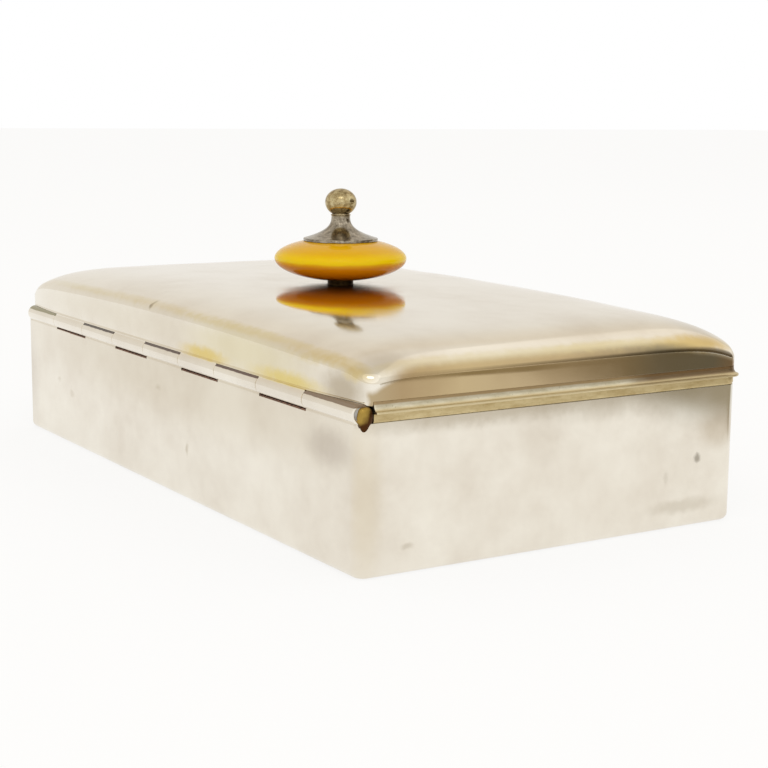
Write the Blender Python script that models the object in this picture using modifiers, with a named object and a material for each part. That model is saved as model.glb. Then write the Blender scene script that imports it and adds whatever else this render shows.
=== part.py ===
# Cigarette box of silver-plated sheet: a rectangular body, a domed lid on a nine-knuckle hinge
# along the back, and a turned knob of amber disc and metal finial on the crown of the lid.
# Metres, +Z up. X runs along the box, the hinge is at the back (+Y), and the origin is on the
# underside, below the middle of the body.

import math

import bmesh
import bpy

# Body
body_length = 0.165
body_width = 0.090
body_sheet = 0.0009
body_corner_radius = 0.00275
bottom_edge_radius = 0.0015
bottom_lip = 0.0024

# Rim strip on the upper edge of the body, at the ends and the front
rim_height = 0.0013
rim_width = 0.0019

# Hinge
hinge_height = 0.0299
hinge_set_in = 0.0009
barrel_radius = 0.0019
pin_radius = 0.0009
pin_clearance = 0.0003
knuckle_chamfer = 0.00015
hinge_left_gap = 0.0008
hinge_right_gap = 0.0034

# Where one knuckle meets the next, as shares of the hinge's length: sawn by hand, so not quite even
knuckle_joint_shares = (0.1113, 0.2239, 0.3364, 0.4422, 0.5541, 0.6611, 0.7749, 0.8887)

# Lid
lid_sheet = 0.0008
lid_back_inset = 0.00165
lid_back_bow = 0.0015
lid_bow_power = 8
lid_corner_radius = 0.0026
lid_edge_radius = 0.0012
corner_wall_height = 0.00313
long_arch = 0.0019
end_roll = 0.0042
side_roll = 0.0038
end_roll_power = 18
side_roll_power = 6.5

# Moulding under the lid's wall, at the ends and the front
flange_reach = 0.0010
flange_tip = 0.00035
moulding_height = 0.0016

# Knob, stacked on the lid's crown
disc_radius = 0.0150
disc_half_thickness = 0.0049
disc_lift = 0.00045
collar_radius = 0.0029
collar_height = 0.0015
skirt_radius = 0.00845
skirt_edge = 0.0004
flare_height = 0.0051
flare_power = 3.2
neck_radius = 0.00225
neck_height = 0.00055
ball_radius = 0.0036
ball_half_height = 0.00314
stud_radius = 0.0015
stud_clearance = 0.0003
stud_in_finial = 0.0030
stud_below_nut = 0.0006
washer_radius = 0.0040
washer_thickness = 0.0008
nut_across_flats = 0.0055
nut_height = 0.0024

# Cedar lining
board = 0.0020
divider_thickness = 0.0030
lining_side_gap = 0.00075
lining_drop = 0.0025
divider_drop = 0.0045

# Gap kept between soldered, glued or resting pieces, and how far a cutter runs past its cut
seam = 0.0003
overrun = 0.0010
weld_distance = 0.000001

# Facets
corner_steps = 6
arc_steps = 4
turned_steps = 40
tube_steps = 24
long_stations = 9
cross_stations = 6


def lid_drop(along, across):
    """How far the lid's outside lies below its crown, by its shares of the half length and width."""
    towards_end = end_roll * along**end_roll_power
    towards_side = side_roll * across**side_roll_power
    return long_arch * along**2 + math.hypot(towards_end, towards_side)


# Places worked out from the sizes
half_length = body_length / 2
half_width = body_width / 2
hinge_y = half_width - hinge_set_in
rim_base = hinge_height - rim_height
wall_top = rim_base - seam
back_wall_top = hinge_height - barrel_radius - seam
hinge_start = -half_length + hinge_left_gap
hinge_end = half_length - hinge_right_gap
hinge_length = hinge_end - hinge_start
hinge_middle = (hinge_start + hinge_end) / 2
hinge_clear_y = hinge_y - barrel_radius - seam
lid_back_y = half_width - lid_back_inset
lid_front_y = -half_width
lid_middle_y = (lid_back_y + lid_front_y) / 2
lid_half_width = (lid_back_y - lid_front_y) / 2
moulding_base = hinge_height + seam
moulding_top = moulding_base + moulding_height
lid_wall_base = moulding_top + seam
corner_cut = lid_corner_radius * (1 - math.sqrt(1 / 2))
corner_drop = lid_drop(1 - corner_cut / half_length, 1 - corner_cut / lid_half_width)
crown_height = lid_wall_base + corner_wall_height + lid_edge_radius + corner_drop
bore_radius = stud_radius + stud_clearance
disc_base = crown_height + disc_lift
disc_middle = disc_base + disc_half_thickness
collar_base = crown_height + seam
collar_top = collar_base + collar_height
nut_top = crown_height - lid_sheet - washer_thickness - 2 * seam
stud_base = nut_top - nut_height - stud_below_nut
lining_top = hinge_height - lining_drop
floor_base = body_sheet + seam
floor_top = floor_base + board
lining_half_length = half_length - body_sheet - lining_side_gap
lining_half_width = half_width - body_sheet - lining_side_gap

# Finishes: colour, metallic, roughness
finishes = {
    "silver_plate": ((0.78, 0.73, 0.63), 1.0, 0.22),
    "worn_plate_brass": ((0.62, 0.50, 0.28), 1.0, 0.30),
    "dark_brass": ((0.16, 0.13, 0.09), 1.0, 0.45),
    "steel": ((0.50, 0.49, 0.47), 1.0, 0.35),
    "tarnished_silver": ((0.52, 0.46, 0.37), 1.0, 0.28),
    "amber_resin": ((0.76, 0.36, 0.02), 0.0, 0.18),
    "cedar": ((0.42, 0.20, 0.10), 0.0, 0.60),
}

for old in list(bpy.data.objects):
    bpy.data.objects.remove(old, do_unlink=True)

scene_collection = bpy.context.scene.collection
parts = bpy.data.collections.new("cigarette_box")
cutters = bpy.data.collections.new("cutters")
scene_collection.children.link(parts)
scene_collection.children.link(cutters)


def new_empty(name, place):
    empty = bpy.data.objects.new(name, None)
    empty.location = place
    parts.objects.link(empty)
    return empty


# The lid and everything on it hang from an empty on the hinge's axis
body_frame = new_empty("body_frame", (0, 0, 0))
lid_frame = new_empty("lid_frame", (0, hinge_y, hinge_height))


def new_material(piece, finish):
    colour, metallic, roughness = finishes[finish]
    material = bpy.data.materials.new(piece + "_" + finish)
    material.use_nodes = True
    shader = material.node_tree.nodes["Principled BSDF"]
    shader.inputs["Base Color"].default_value = (*colour, 1.0)
    shader.inputs["Metallic"].default_value = metallic
    shader.inputs["Roughness"].default_value = roughness
    material.diffuse_color = (*colour, 1.0)
    return material


def add_piece(name, mesh, finish, frame, place=(0, 0, 0), turn=(0, 0, 0)):
    piece = bpy.data.objects.new(name, mesh)
    parts.objects.link(piece)
    piece.data.materials.append(new_material(name, finish))
    piece.parent = frame
    piece.location = [place[i] - frame.location[i] for i in range(3)]
    piece.rotation_euler = turn
    return piece


def add_cutter(name, mesh):
    cutter = bpy.data.objects.new(name, mesh)
    cutters.objects.link(cutter)
    cutter.hide_render = True
    cutter.display_type = "WIRE"
    return cutter


def cut(piece, cutter):
    boolean = piece.modifiers.new("cut_" + cutter.name, "BOOLEAN")
    boolean.operation = "DIFFERENCE"
    boolean.object = cutter


def mesh_from(name, bm):
    mesh = bpy.data.meshes.new(name)
    bm.to_mesh(mesh)
    bm.free()
    return mesh


def smooth(mesh, angle=35):
    mesh.shade_smooth()
    mesh.set_sharp_from_angle(angle=math.radians(angle))


def box_mesh(name, low, high):
    bm = bmesh.new()
    bmesh.ops.create_cube(bm, size=1)
    for vert in bm.verts:
        vert.co = [low[i] if vert.co[i] < 0 else high[i] for i in range(3)]
    return mesh_from(name, bm)


def arc(middle_a, middle_b, radius_a, radius_b, start, end, steps):
    """Points of an elliptical arc, both ends included; the angles are in degrees."""
    points = []
    for step in range(steps + 1):
        angle = math.radians(start + (end - start) * step / steps)
        points.append((middle_a + radius_a * math.cos(angle), middle_b + radius_b * math.sin(angle)))
    return points


def round_path(half_x, front_y, back_y, radius):
    """Outline with round corners, anticlockwise from the back right."""
    x = half_x - radius
    front = front_y + radius
    back = back_y - radius
    return (
        arc(x, back, radius, radius, 0, 90, corner_steps)
        + arc(-x, back, radius, radius, 90, 180, corner_steps)
        + arc(-x, front, radius, radius, 180, 270, corner_steps)
        + arc(x, front, radius, radius, 270, 360, corner_steps)
    )


def three_sided_path(half_x, front_y, back_y, radius):
    """Both ends and the front, from the left end's back to the right end's back."""
    x = half_x - radius
    front = front_y + radius
    return (
        [(-half_x, back_y)]
        + arc(-x, front, radius, radius, 180, 270, corner_steps)
        + arc(x, front, radius, radius, 270, 360, corner_steps)
        + [(half_x, back_y)]
    )


def flat_curve(name, points, closed):
    curve = bpy.data.curves.new(name, "CURVE")
    curve.dimensions = "2D"
    curve.fill_mode = "NONE"
    spline = curve.splines.new("POLY")
    spline.points.add(len(points) - 1)
    for point, (a, b) in zip(spline.points, points):
        point.co = (a, b, 0, 1)
    spline.use_cyclic_u = closed
    return curve


def swept_mesh(name, path, section, closed):
    """A section of outward distances and heights, carried along an anticlockwise path."""
    if closed:
        # Round a closed path, a section's positive side faces inward
        section = [(-outward, height) for outward, height in section]
    guide = bpy.data.objects.new(name + "_section", flat_curve(name + "_section", section, True))
    cutters.objects.link(guide)
    curve = flat_curve(name + "_path", path, closed)
    curve.bevel_mode = "OBJECT"
    curve.bevel_object = guide
    curve.use_fill_caps = not closed
    sweep = bpy.data.objects.new(name + "_path", curve)
    scene_collection.objects.link(sweep)
    graph = bpy.context.evaluated_depsgraph_get()
    mesh = bpy.data.meshes.new_from_object(sweep.evaluated_get(graph))
    mesh.name = name
    bpy.data.objects.remove(sweep, do_unlink=True)
    bpy.data.objects.remove(guide, do_unlink=True)
    mesh.materials.clear()
    bm = bmesh.new()
    bm.from_mesh(mesh)
    bmesh.ops.remove_doubles(bm, verts=bm.verts[:], dist=weld_distance)
    bmesh.ops.recalc_face_normals(bm, faces=bm.faces[:])
    bm.to_mesh(mesh)
    bm.free()
    return mesh


def profile_mesh(name, profile, closed):
    """A profile of radius and height to be turned about Z; a closed one leaves a bore."""
    bm = bmesh.new()
    verts = [bm.verts.new((radius, 0, height)) for radius, height in profile]
    for first, second in zip(verts, verts[1:]):
        bm.edges.new((first, second))
    if closed:
        bm.edges.new((verts[-1], verts[0]))
    return mesh_from(name, bm)


def turn_about_z(item, steps):
    screw = item.modifiers.new("turn", "SCREW")
    screw.steps = steps
    screw.render_steps = steps
    screw.use_merge_vertices = True
    screw.merge_threshold = weld_distance


def add_turned(name, profile, finish, frame, steps, closed=True, place=(0, 0, 0), turn=(0, 0, 0)):
    piece = add_piece(name, profile_mesh(name, profile, closed), finish, frame, place, turn)
    turn_about_z(piece, steps)


def ring_profile(inner, outer, base, top, edge=0):
    """A plain ring's profile, run down its outer side, with its outer edges eased."""
    if not edge:
        return [(outer, top), (outer, base), (inner, base), (inner, top)]
    return [
        (outer - edge, top),
        (outer, top - edge),
        (outer, base + edge),
        (outer - edge, base),
        (inner, base),
        (inner, top),
    ]


def make_body_shell():
    """Walls folded from one strip, with the lower edge rounded and turned in as a narrow lip."""
    radius = bottom_edge_radius
    inner_radius = radius - body_sheet
    section = (
        [(0, wall_top)]
        + arc(-radius, radius, radius, radius, 360, 270, arc_steps)
        + [(-bottom_lip, 0), (-bottom_lip, body_sheet)]
        + arc(-radius, radius, inner_radius, inner_radius, 270, 360, arc_steps)
        + [(-body_sheet, wall_top)]
    )
    path = round_path(half_length, -half_width, half_width, body_corner_radius)
    mesh = swept_mesh("body_shell", path, section, closed=True)
    smooth(mesh)
    shell = add_piece("body_shell", mesh, "silver_plate", body_frame)
    low = (hinge_start - seam, hinge_clear_y, back_wall_top)
    high = (hinge_end + seam, half_width + overrun, wall_top + overrun)
    cut(shell, add_cutter("hinge_recess", box_mesh("hinge_recess", low, high)))


def make_base_plate():
    """Bottom sheet let in flush between the turned-in lips of the walls."""
    half_x = half_length - bottom_lip - seam
    half_y = half_width - bottom_lip - seam
    mesh = box_mesh("base_plate", (-half_x, -half_y, 0), (half_x, half_y, body_sheet))
    add_piece("base_plate", mesh, "silver_plate", body_frame)


def make_body_rim():
    """Flat brass strip on the walls' upper edge, open along the hinge."""
    section = [(0, rim_base), (0, hinge_height), (-rim_width, hinge_height), (-rim_width, rim_base)]
    path = three_sided_path(half_length, -half_width, hinge_clear_y, body_corner_radius)
    mesh = swept_mesh("body_rim", path, section, closed=False)
    smooth(mesh)
    add_piece("body_rim", mesh, "worn_plate_brass", body_frame)


def make_hinge():
    """Tube knuckles by turns on the body and on the lid, over one pin along the whole back."""
    along_x = (0, math.radians(90), 0)
    joints = [hinge_start + hinge_length * share for share in knuckle_joint_shares]
    ends = [hinge_start, *joints, hinge_end]
    for index, (start, end) in enumerate(zip(ends, ends[1:])):
        on_lid = index % 2 == 1
        name = f"{'lid' if on_lid else 'body'}_knuckle_{index // 2 + 1}"
        half = (end - start - seam) / 2
        middle = (start + end) / 2
        profile = ring_profile(
            pin_radius + pin_clearance, barrel_radius, -half, half, knuckle_chamfer
        )
        frame = lid_frame if on_lid else body_frame
        place = (middle, hinge_y, hinge_height)
        add_turned(name, profile, "silver_plate", frame, tube_steps, place=place, turn=along_x)
    half = hinge_length / 2 - seam
    profile = [(0, half), (pin_radius, half), (pin_radius, -half), (0, -half)]
    place = (hinge_middle, hinge_y, hinge_height)
    add_turned("hinge_pin", profile, "steel", body_frame, tube_steps, False, place, along_x)


def stations(half, inner_count):
    """Distances from the lid's edge to its middle: close in the rounded edge, wide inside."""
    rest = half - lid_corner_radius
    inner = [rest * (1 - math.cos(math.pi / 2 * k / inner_count)) for k in range(inner_count + 1)]
    edge = arc(lid_edge_radius, 0, lid_edge_radius, lid_edge_radius, 180, 90, arc_steps)
    return [from_edge for from_edge, _ in edge] + [lid_corner_radius + d for d in inner]


def lid_surface(x, y, from_edge):
    """Height of the lid's outside: a long arch, rolling off towards each side and edge."""
    drop = lid_drop(abs(x) / half_length, abs(y - lid_middle_y) / lid_half_width)
    into_edge = min(max(0, lid_edge_radius - from_edge), lid_edge_radius)
    edge_height = math.sqrt(lid_edge_radius**2 - into_edge**2)
    return crown_height - drop - lid_edge_radius + edge_height


def round_corner(x, y):
    """Moves a point of the square corner block onto the quarter disc; gives its edge distance."""
    past_x = abs(x) - (half_length - lid_corner_radius)
    past_y = abs(y - lid_middle_y) - (lid_half_width - lid_corner_radius)
    if past_x <= 0 or past_y <= 0:
        return x, y, lid_corner_radius - max(past_x, past_y)
    reach = max(past_x, past_y)
    shrink = reach / math.hypot(past_x, past_y)
    x = math.copysign(half_length - lid_corner_radius + past_x * shrink, x)
    turned_y = lid_half_width - lid_corner_radius + past_y * shrink
    y = lid_middle_y + math.copysign(turned_y, y - lid_middle_y)
    return x, y, lid_corner_radius - reach


def back_bow(x, y):
    """How far the lid's back half stands out, most at the middle of the back wall."""
    towards_back = max(0, (y - lid_middle_y) / lid_half_width)
    return lid_back_bow * towards_back * (1 - (abs(x) / half_length) ** lid_bow_power)


def make_lid_shell():
    """Domed sheet with a rounded upper edge and upright walls, bored for the knob's stud."""
    along = [half_length - d for d in stations(half_length, long_stations)]
    across = [lid_half_width - d for d in stations(lid_half_width, cross_stations)]
    xs = [-x for x in along[:-1]] + along[::-1]
    ys = [-y for y in across[:-1]] + across[::-1]
    columns = len(xs) - 1
    rows = len(ys) - 1
    bm = bmesh.new()
    bmesh.ops.create_grid(bm, x_segments=columns, y_segments=rows, size=1)
    for vert in bm.verts:
        column = round((vert.co.x + 1) / 2 * columns)
        row = round((vert.co.y + 1) / 2 * rows)
        x, y, from_edge = round_corner(xs[column], lid_middle_y + ys[row])
        vert.co = (x, y + back_bow(x, y), lid_surface(x, y, from_edge))
    rim = [edge for edge in bm.edges if edge.is_boundary]
    walls = bmesh.ops.extrude_edge_only(bm, edges=rim)["geom"]
    for item in walls:
        if isinstance(item, bmesh.types.BMVert):
            item.co.z = lid_wall_base
    bmesh.ops.recalc_face_normals(bm, faces=bm.faces[:])
    if sum(face.normal.z for face in bm.faces) < 0:
        bmesh.ops.reverse_faces(bm, faces=bm.faces[:])
    mesh = mesh_from("lid_shell", bm)
    smooth(mesh)
    shell = add_piece("lid_shell", mesh, "silver_plate", lid_frame)
    solidify = shell.modifiers.new("sheet", "SOLIDIFY")
    solidify.thickness = lid_sheet
    solidify.offset = -1
    solidify.use_even_offset = True
    profile = [
        (0, crown_height + overrun),
        (bore_radius, crown_height + overrun),
        (bore_radius, nut_top),
        (0, nut_top),
    ]
    drill = add_cutter("stud_hole", profile_mesh("stud_hole", profile, False))
    turn_about_z(drill, tube_steps)
    cut(shell, drill)


def make_lid_moulding():
    """Drawn moulding under the lid's wall: flat below, hollowed outside to a thin tip."""
    cove = arc(
        flange_reach,
        moulding_top,
        -flange_reach,
        -(moulding_height - flange_tip),
        0,
        90,
        arc_steps,
    )
    section = [(-lid_sheet, moulding_top)] + cove
    section += [(flange_reach, moulding_base), (-lid_sheet, moulding_base)]
    path = three_sided_path(half_length, lid_front_y, hinge_clear_y, lid_corner_radius)
    mesh = swept_mesh("lid_moulding", path, section, closed=False)
    smooth(mesh)
    add_piece("lid_moulding", mesh, "worn_plate_brass", lid_frame)


def disc_surface(radius):
    """Half the disc's thickness at a distance from its axis."""
    return disc_half_thickness * math.sqrt(max(0, 1 - (radius / disc_radius) ** 2))


def make_disc():
    """Lens-shaped disc, bored through and counterbored below for the collar."""
    recess = collar_radius + seam
    start = math.degrees(math.acos(bore_radius / disc_radius))
    end = math.degrees(math.acos(recess / disc_radius))
    outside = arc(0, disc_middle, disc_radius, disc_half_thickness, start, -end, 4 * arc_steps)
    profile = outside + [(recess, collar_top + seam), (bore_radius, collar_top + seam)]
    add_turned("knob_disc", profile, "amber_resin", lid_frame, turned_steps)


def make_finial():
    """Bell-shaped skirt, waisted neck and flattened ball turned in one, blind-bored from below."""
    flare_base = disc_middle + disc_surface(skirt_radius) + seam + skirt_edge
    neck_angle = math.acos(neck_radius / ball_radius)
    ball_drop = ball_half_height * math.sin(neck_angle)
    ball_middle = flare_base + flare_height + neck_height + ball_drop
    end = -math.degrees(neck_angle)
    ball = arc(0, ball_middle, ball_radius, ball_half_height, 90, end, 3 * arc_steps)
    flare = []
    flare_steps = 2 * arc_steps
    for step in range(flare_steps + 1):
        fall = step / flare_steps
        radius = neck_radius + (skirt_radius - neck_radius) * fall**flare_power
        flare.append((radius, flare_base + flare_height * (1 - fall)))
    underside = []
    for step in range(arc_steps + 1):
        radius = skirt_radius + (bore_radius - skirt_radius) * step / arc_steps
        underside.append((radius, disc_middle + disc_surface(radius) + seam))
    bore_top = disc_middle + disc_half_thickness + stud_in_finial + seam
    profile = ball + flare + underside + [(bore_radius, bore_top), (0, bore_top)]
    add_turned("knob_finial", profile, "tarnished_silver", lid_frame, turned_steps, False)


def make_knob_fixing():
    """Collar under the disc, and the stud, washer and nut that clamp the knob to the lid."""
    profile = ring_profile(bore_radius, collar_radius, collar_base, collar_top)
    add_turned("knob_collar", profile, "dark_brass", lid_frame, tube_steps)
    stud_top = disc_middle + disc_half_thickness + stud_in_finial
    profile = [(0, stud_top), (stud_radius, stud_top), (stud_radius, stud_base), (0, stud_base)]
    add_turned("knob_stud", profile, "steel", lid_frame, tube_steps, False)
    washer_top = crown_height - lid_sheet - seam
    washer_base = washer_top - washer_thickness
    profile = ring_profile(bore_radius, washer_radius, washer_base, washer_top)
    add_turned("knob_washer", profile, "steel", lid_frame, tube_steps)
    bm = bmesh.new()
    corner = nut_across_flats / math.sqrt(3)
    bmesh.ops.create_cone(
        bm, cap_ends=True, segments=6, radius1=corner, radius2=corner, depth=nut_height
    )
    nut_middle = washer_base - seam - nut_height / 2
    place = (0, 0, nut_middle)
    nut = add_piece("knob_nut", mesh_from("knob_nut", bm), "steel", lid_frame, place)
    bm = bmesh.new()
    depth = nut_height + 2 * overrun
    bmesh.ops.create_cone(
        bm,
        cap_ends=True,
        segments=tube_steps,
        radius1=bore_radius,
        radius2=bore_radius,
        depth=depth,
    )
    drill = add_cutter("nut_hole", mesh_from("nut_hole", bm))
    drill.location = place
    cut(nut, drill)


def make_lining():
    """Cedar floor, four side boards and a divider that makes two compartments."""
    x = lining_half_length
    y = lining_half_width
    inner_x = x - board
    inner_y = y - board
    side_base = floor_top + seam
    half_divider = divider_thickness / 2
    divider_top = lining_top - divider_drop
    boards = {
        "lining_floor": ((-x, -y, floor_base), (x, y, floor_top)),
        "lining_front": ((-x, -y, side_base), (x, -inner_y, lining_top)),
        "lining_back": ((-x, inner_y, side_base), (x, y, lining_top)),
        "lining_left": ((-x, -inner_y + seam, side_base), (-inner_x, inner_y - seam, lining_top)),
        "lining_right": ((inner_x, -inner_y + seam, side_base), (x, inner_y - seam, lining_top)),
        "lining_divider": (
            (-half_divider, -inner_y + seam, side_base),
            (half_divider, inner_y - seam, divider_top),
        ),
    }
    for name, (low, high) in boards.items():
        add_piece(name, box_mesh(name, low, high), "cedar", body_frame)


make_body_shell()
make_base_plate()
make_body_rim()
make_hinge()
make_lid_shell()
make_lid_moulding()
make_disc()
make_finial()
make_knob_fixing()
make_lining()
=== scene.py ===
import math

import bmesh
import bpy
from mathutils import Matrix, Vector


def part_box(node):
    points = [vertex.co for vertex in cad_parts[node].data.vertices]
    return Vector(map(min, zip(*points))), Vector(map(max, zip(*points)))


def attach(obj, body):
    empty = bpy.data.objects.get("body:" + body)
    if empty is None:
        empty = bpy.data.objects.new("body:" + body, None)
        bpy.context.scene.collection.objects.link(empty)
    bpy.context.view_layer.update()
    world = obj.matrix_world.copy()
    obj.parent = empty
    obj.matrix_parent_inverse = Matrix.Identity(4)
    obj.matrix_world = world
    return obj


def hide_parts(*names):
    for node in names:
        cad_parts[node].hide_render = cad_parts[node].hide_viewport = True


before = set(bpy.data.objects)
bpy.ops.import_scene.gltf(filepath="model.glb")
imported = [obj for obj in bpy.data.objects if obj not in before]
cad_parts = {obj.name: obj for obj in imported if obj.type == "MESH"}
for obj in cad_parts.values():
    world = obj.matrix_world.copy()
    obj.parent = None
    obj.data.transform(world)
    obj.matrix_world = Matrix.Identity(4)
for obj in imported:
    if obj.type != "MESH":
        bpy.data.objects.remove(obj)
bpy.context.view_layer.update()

# Silver-plated table cigarette box. Lengths in the dictionaries are millimetres.
mm = 0.001
weldDistance = 0.000002
scene = bpy.context.scene

print("camera")
photoView = {
    "place": (-0.318891, 0.188850, 0.082771),
    "tilt": 80.3255,
    "roll": -0.5981,
    "heading": -122.1127,
    "lens": 76.17,
    "sensor": 36,
}
camera = bpy.data.objects.new("photo_camera", bpy.data.cameras.new("photo_camera"))
scene.collection.objects.link(camera)
camera.location = photoView["place"]
camera.rotation_euler = [math.radians(photoView[turn]) for turn in ("tilt", "roll", "heading")]
camera.data.lens = photoView["lens"]
camera.data.sensor_width = photoView["sensor"]
camera.data.clip_start = 0.01
scene.camera = camera


def linearColour(hexText):
    # an sRGB hex colour as the linear values that a node takes
    values = []
    for place in (1, 3, 5):
        value = int(hexText[place:place + 2], 16) / 255
        if value <= 0.04045:
            values.append(value / 12.92)
        else:
            values.append(((value + 0.055) / 1.055) ** 2.4)
    return (*values, 1)


def addNode(tree, kind, settings, sources, stops=()):
    # a source that is a socket is linked, a hex text becomes a colour, anything else is set
    node = tree.nodes.new(kind)
    for name, value in settings.items():
        setattr(node, name, value)
    for name, value in sources.items():
        if isinstance(value, bpy.types.NodeSocket):
            tree.links.new(value, node.inputs[name])
        elif isinstance(value, str):
            node.inputs[name].default_value = linearColour(value)
        else:
            node.inputs[name].default_value = value
    for index, (place, colour) in enumerate(stops):
        ramp = node.color_ramp.elements
        stop = ramp[index] if index < 2 else ramp.new(place)
        stop.position = place
        stop.color = linearColour(colour)
    return node


def newFinish(name):
    # a material with its shader, and a place on the object in millimetres: a noise scale of
    # 1 / size then gives patches of about that size
    material = bpy.data.materials.new(name)
    material.use_nodes = True
    tree = material.node_tree
    shader = tree.nodes["Principled BSDF"]
    spot = addNode(tree, "ShaderNodeTexCoord", {}, {})
    place = addNode(tree, "ShaderNodeMapping", {}, {
        "Vector": spot.outputs["Object"],
        "Scale": (1000, 1000, 1000),
    })
    return material, tree, shader, place.outputs["Vector"]


def arcPoints(middle, radii, start, end, steps):
    # points of an elliptical arc between two angles in degrees, both ends included
    points = []
    for step in range(steps + 1):
        angle = math.radians(start + (end - start) * step / steps)
        points.append((middle[0] + radii[0] * math.cos(angle), middle[1] + radii[1] * math.sin(angle)))
    return points


def easeEdges(bm, width, angle=40):
    # takes the sharpness off every edge that turns by more than the angle
    limit = math.radians(angle)
    sharp = [e for e in bm.edges if len(e.link_faces) == 2 and e.calc_face_angle(0) > limit]
    bmesh.ops.bevel(
        bm,
        geom=sharp,
        offset=width * mm,
        offset_type="OFFSET",
        segments=2,
        profile=0.5,
        affect="EDGES",
        clamp_overlap=True,
        material=-1,
    )


def spinProfile(profile, steps, middle=(0, 0, 0), alongX=False, closed=True):
    # turns a profile of (radius, distance along the axis) in a lathe
    bm = bmesh.new()
    corners = []
    for radius, along in profile:
        place = (along, 0, radius) if alongX else (radius, 0, along)
        corners.append(bm.verts.new((Vector(middle) + Vector(place)) * mm))
    edges = [bm.edges.new(pair) for pair in zip(corners, corners[1:])]
    if closed:
        edges.append(bm.edges.new((corners[-1], corners[0])))
    bmesh.ops.spin(
        bm,
        geom=corners + edges,
        cent=Vector(middle) * mm,
        axis=(1, 0, 0) if alongX else (0, 0, 1),
        dvec=(0, 0, 0),
        angle=math.tau,
        steps=steps,
        use_merge=True,
        use_duplicate=False,
    )
    bmesh.ops.remove_doubles(bm, verts=bm.verts[:], dist=weldDistance)
    bmesh.ops.recalc_face_normals(bm, faces=bm.faces[:])
    return bm


def sweepSection(section, start, outward, route, cornerSteps=14, hold=0.5):
    # carries a closed section of (outward, height) round the box: runs are moves, turns have a centre
    bm = bmesh.new()
    corners = [bm.verts.new((start[0] + outward * a, start[1], b)) for a, b in section]
    edges = [bm.edges.new(pair) for pair in zip(corners, corners[1:])]
    edges.append(bm.edges.new((corners[-1], corners[0])))
    for kind, value in route:
        if kind == "turn":
            last = bmesh.ops.spin(
                bm,
                geom=corners + edges,
                cent=(*value, 0),
                axis=(0, 0, 1),
                dvec=(0, 0, 0),
                angle=math.radians(90),
                steps=cornerSteps,
                use_merge=False,
                use_duplicate=False,
            )["geom_last"]
            corners = [item for item in last if isinstance(item, bmesh.types.BMVert)]
            edges = [item for item in last if isinstance(item, bmesh.types.BMEdge)]
            continue
        run = Vector((*value, 0))
        strip = min(hold / run.length, 0.25)
        for share in (strip, 0.5 - strip, 0.5 - strip, strip):
            grown = bmesh.ops.extrude_edge_only(bm, edges=edges)["geom"]
            corners = [item for item in grown if isinstance(item, bmesh.types.BMVert)]
            fresh = set(corners)
            edges = [
                item for item in grown
                if isinstance(item, bmesh.types.BMEdge) and fresh.issuperset(item.verts)
            ]
            bmesh.ops.translate(bm, verts=corners, vec=run * share)
    bmesh.ops.scale(bm, verts=bm.verts[:], vec=(mm, mm, mm))
    bmesh.ops.remove_doubles(bm, verts=bm.verts[:], dist=weldDistance)
    openEnds = [edge for edge in bm.edges if edge.is_boundary]
    if openEnds:
        bmesh.ops.holes_fill(bm, edges=openEnds, sides=0)
    bmesh.ops.recalc_face_normals(bm, faces=bm.faces[:])
    return bm


def nodeBlock(node, ease):
    # a board of the same size and place as the CAD node, with its edges eased
    low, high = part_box(node)
    size = Vector(high) - Vector(low)
    bm = bmesh.new()
    bmesh.ops.create_cube(bm, size=1)
    bmesh.ops.scale(bm, verts=bm.verts[:], vec=size)
    bmesh.ops.translate(bm, verts=bm.verts[:], vec=Vector(low) + size / 2)
    easeEdges(bm, ease)
    return bm


def addPiece(bm, name, body, material, nodes=(), angle=35):
    mesh = bpy.data.meshes.new(name)
    bm.to_mesh(mesh)
    bm.free()
    mesh.shade_smooth()
    mesh.set_sharp_from_angle(angle=math.radians(angle))
    piece = bpy.data.objects.new(name, mesh)
    scene.collection.objects.link(piece)
    mesh.materials.append(material)
    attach(piece, body)
    if nodes:
        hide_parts(*nodes)
    return piece


def flattenShading(piece):
    # large flat faces keep straight reflections beside their rounded corners
    weighted = piece.modifiers.new("flat_faces", "WEIGHTED_NORMAL")
    weighted.keep_sharp = True
    weighted.weight = 80


print("finishes")
# Electroplated silver over brass sheet, polished by hand for decades: a warm pale mirror with soft
# clouds, worn to the yellow brass along the crease and stained in a few places
plateLook = {
    "pale": "#F0EADD",
    "dull": "#E2D9CA",
    "brass": "#DCC88E",
    "roughness": 0.07,
    "hazeRoughness": 0.2,
    "haze": (0.16, 0.42),
    "cloudSize": 42,
    "smudgeSize": 13,
    "raggedSize": 1.818,
    "ragged": 1.6,
    "waveSize": 48,
    "waveDepth": 0.014,
    "scratchWidth": 0.35,
    "scratchDepth": 0.0012,
}
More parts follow.
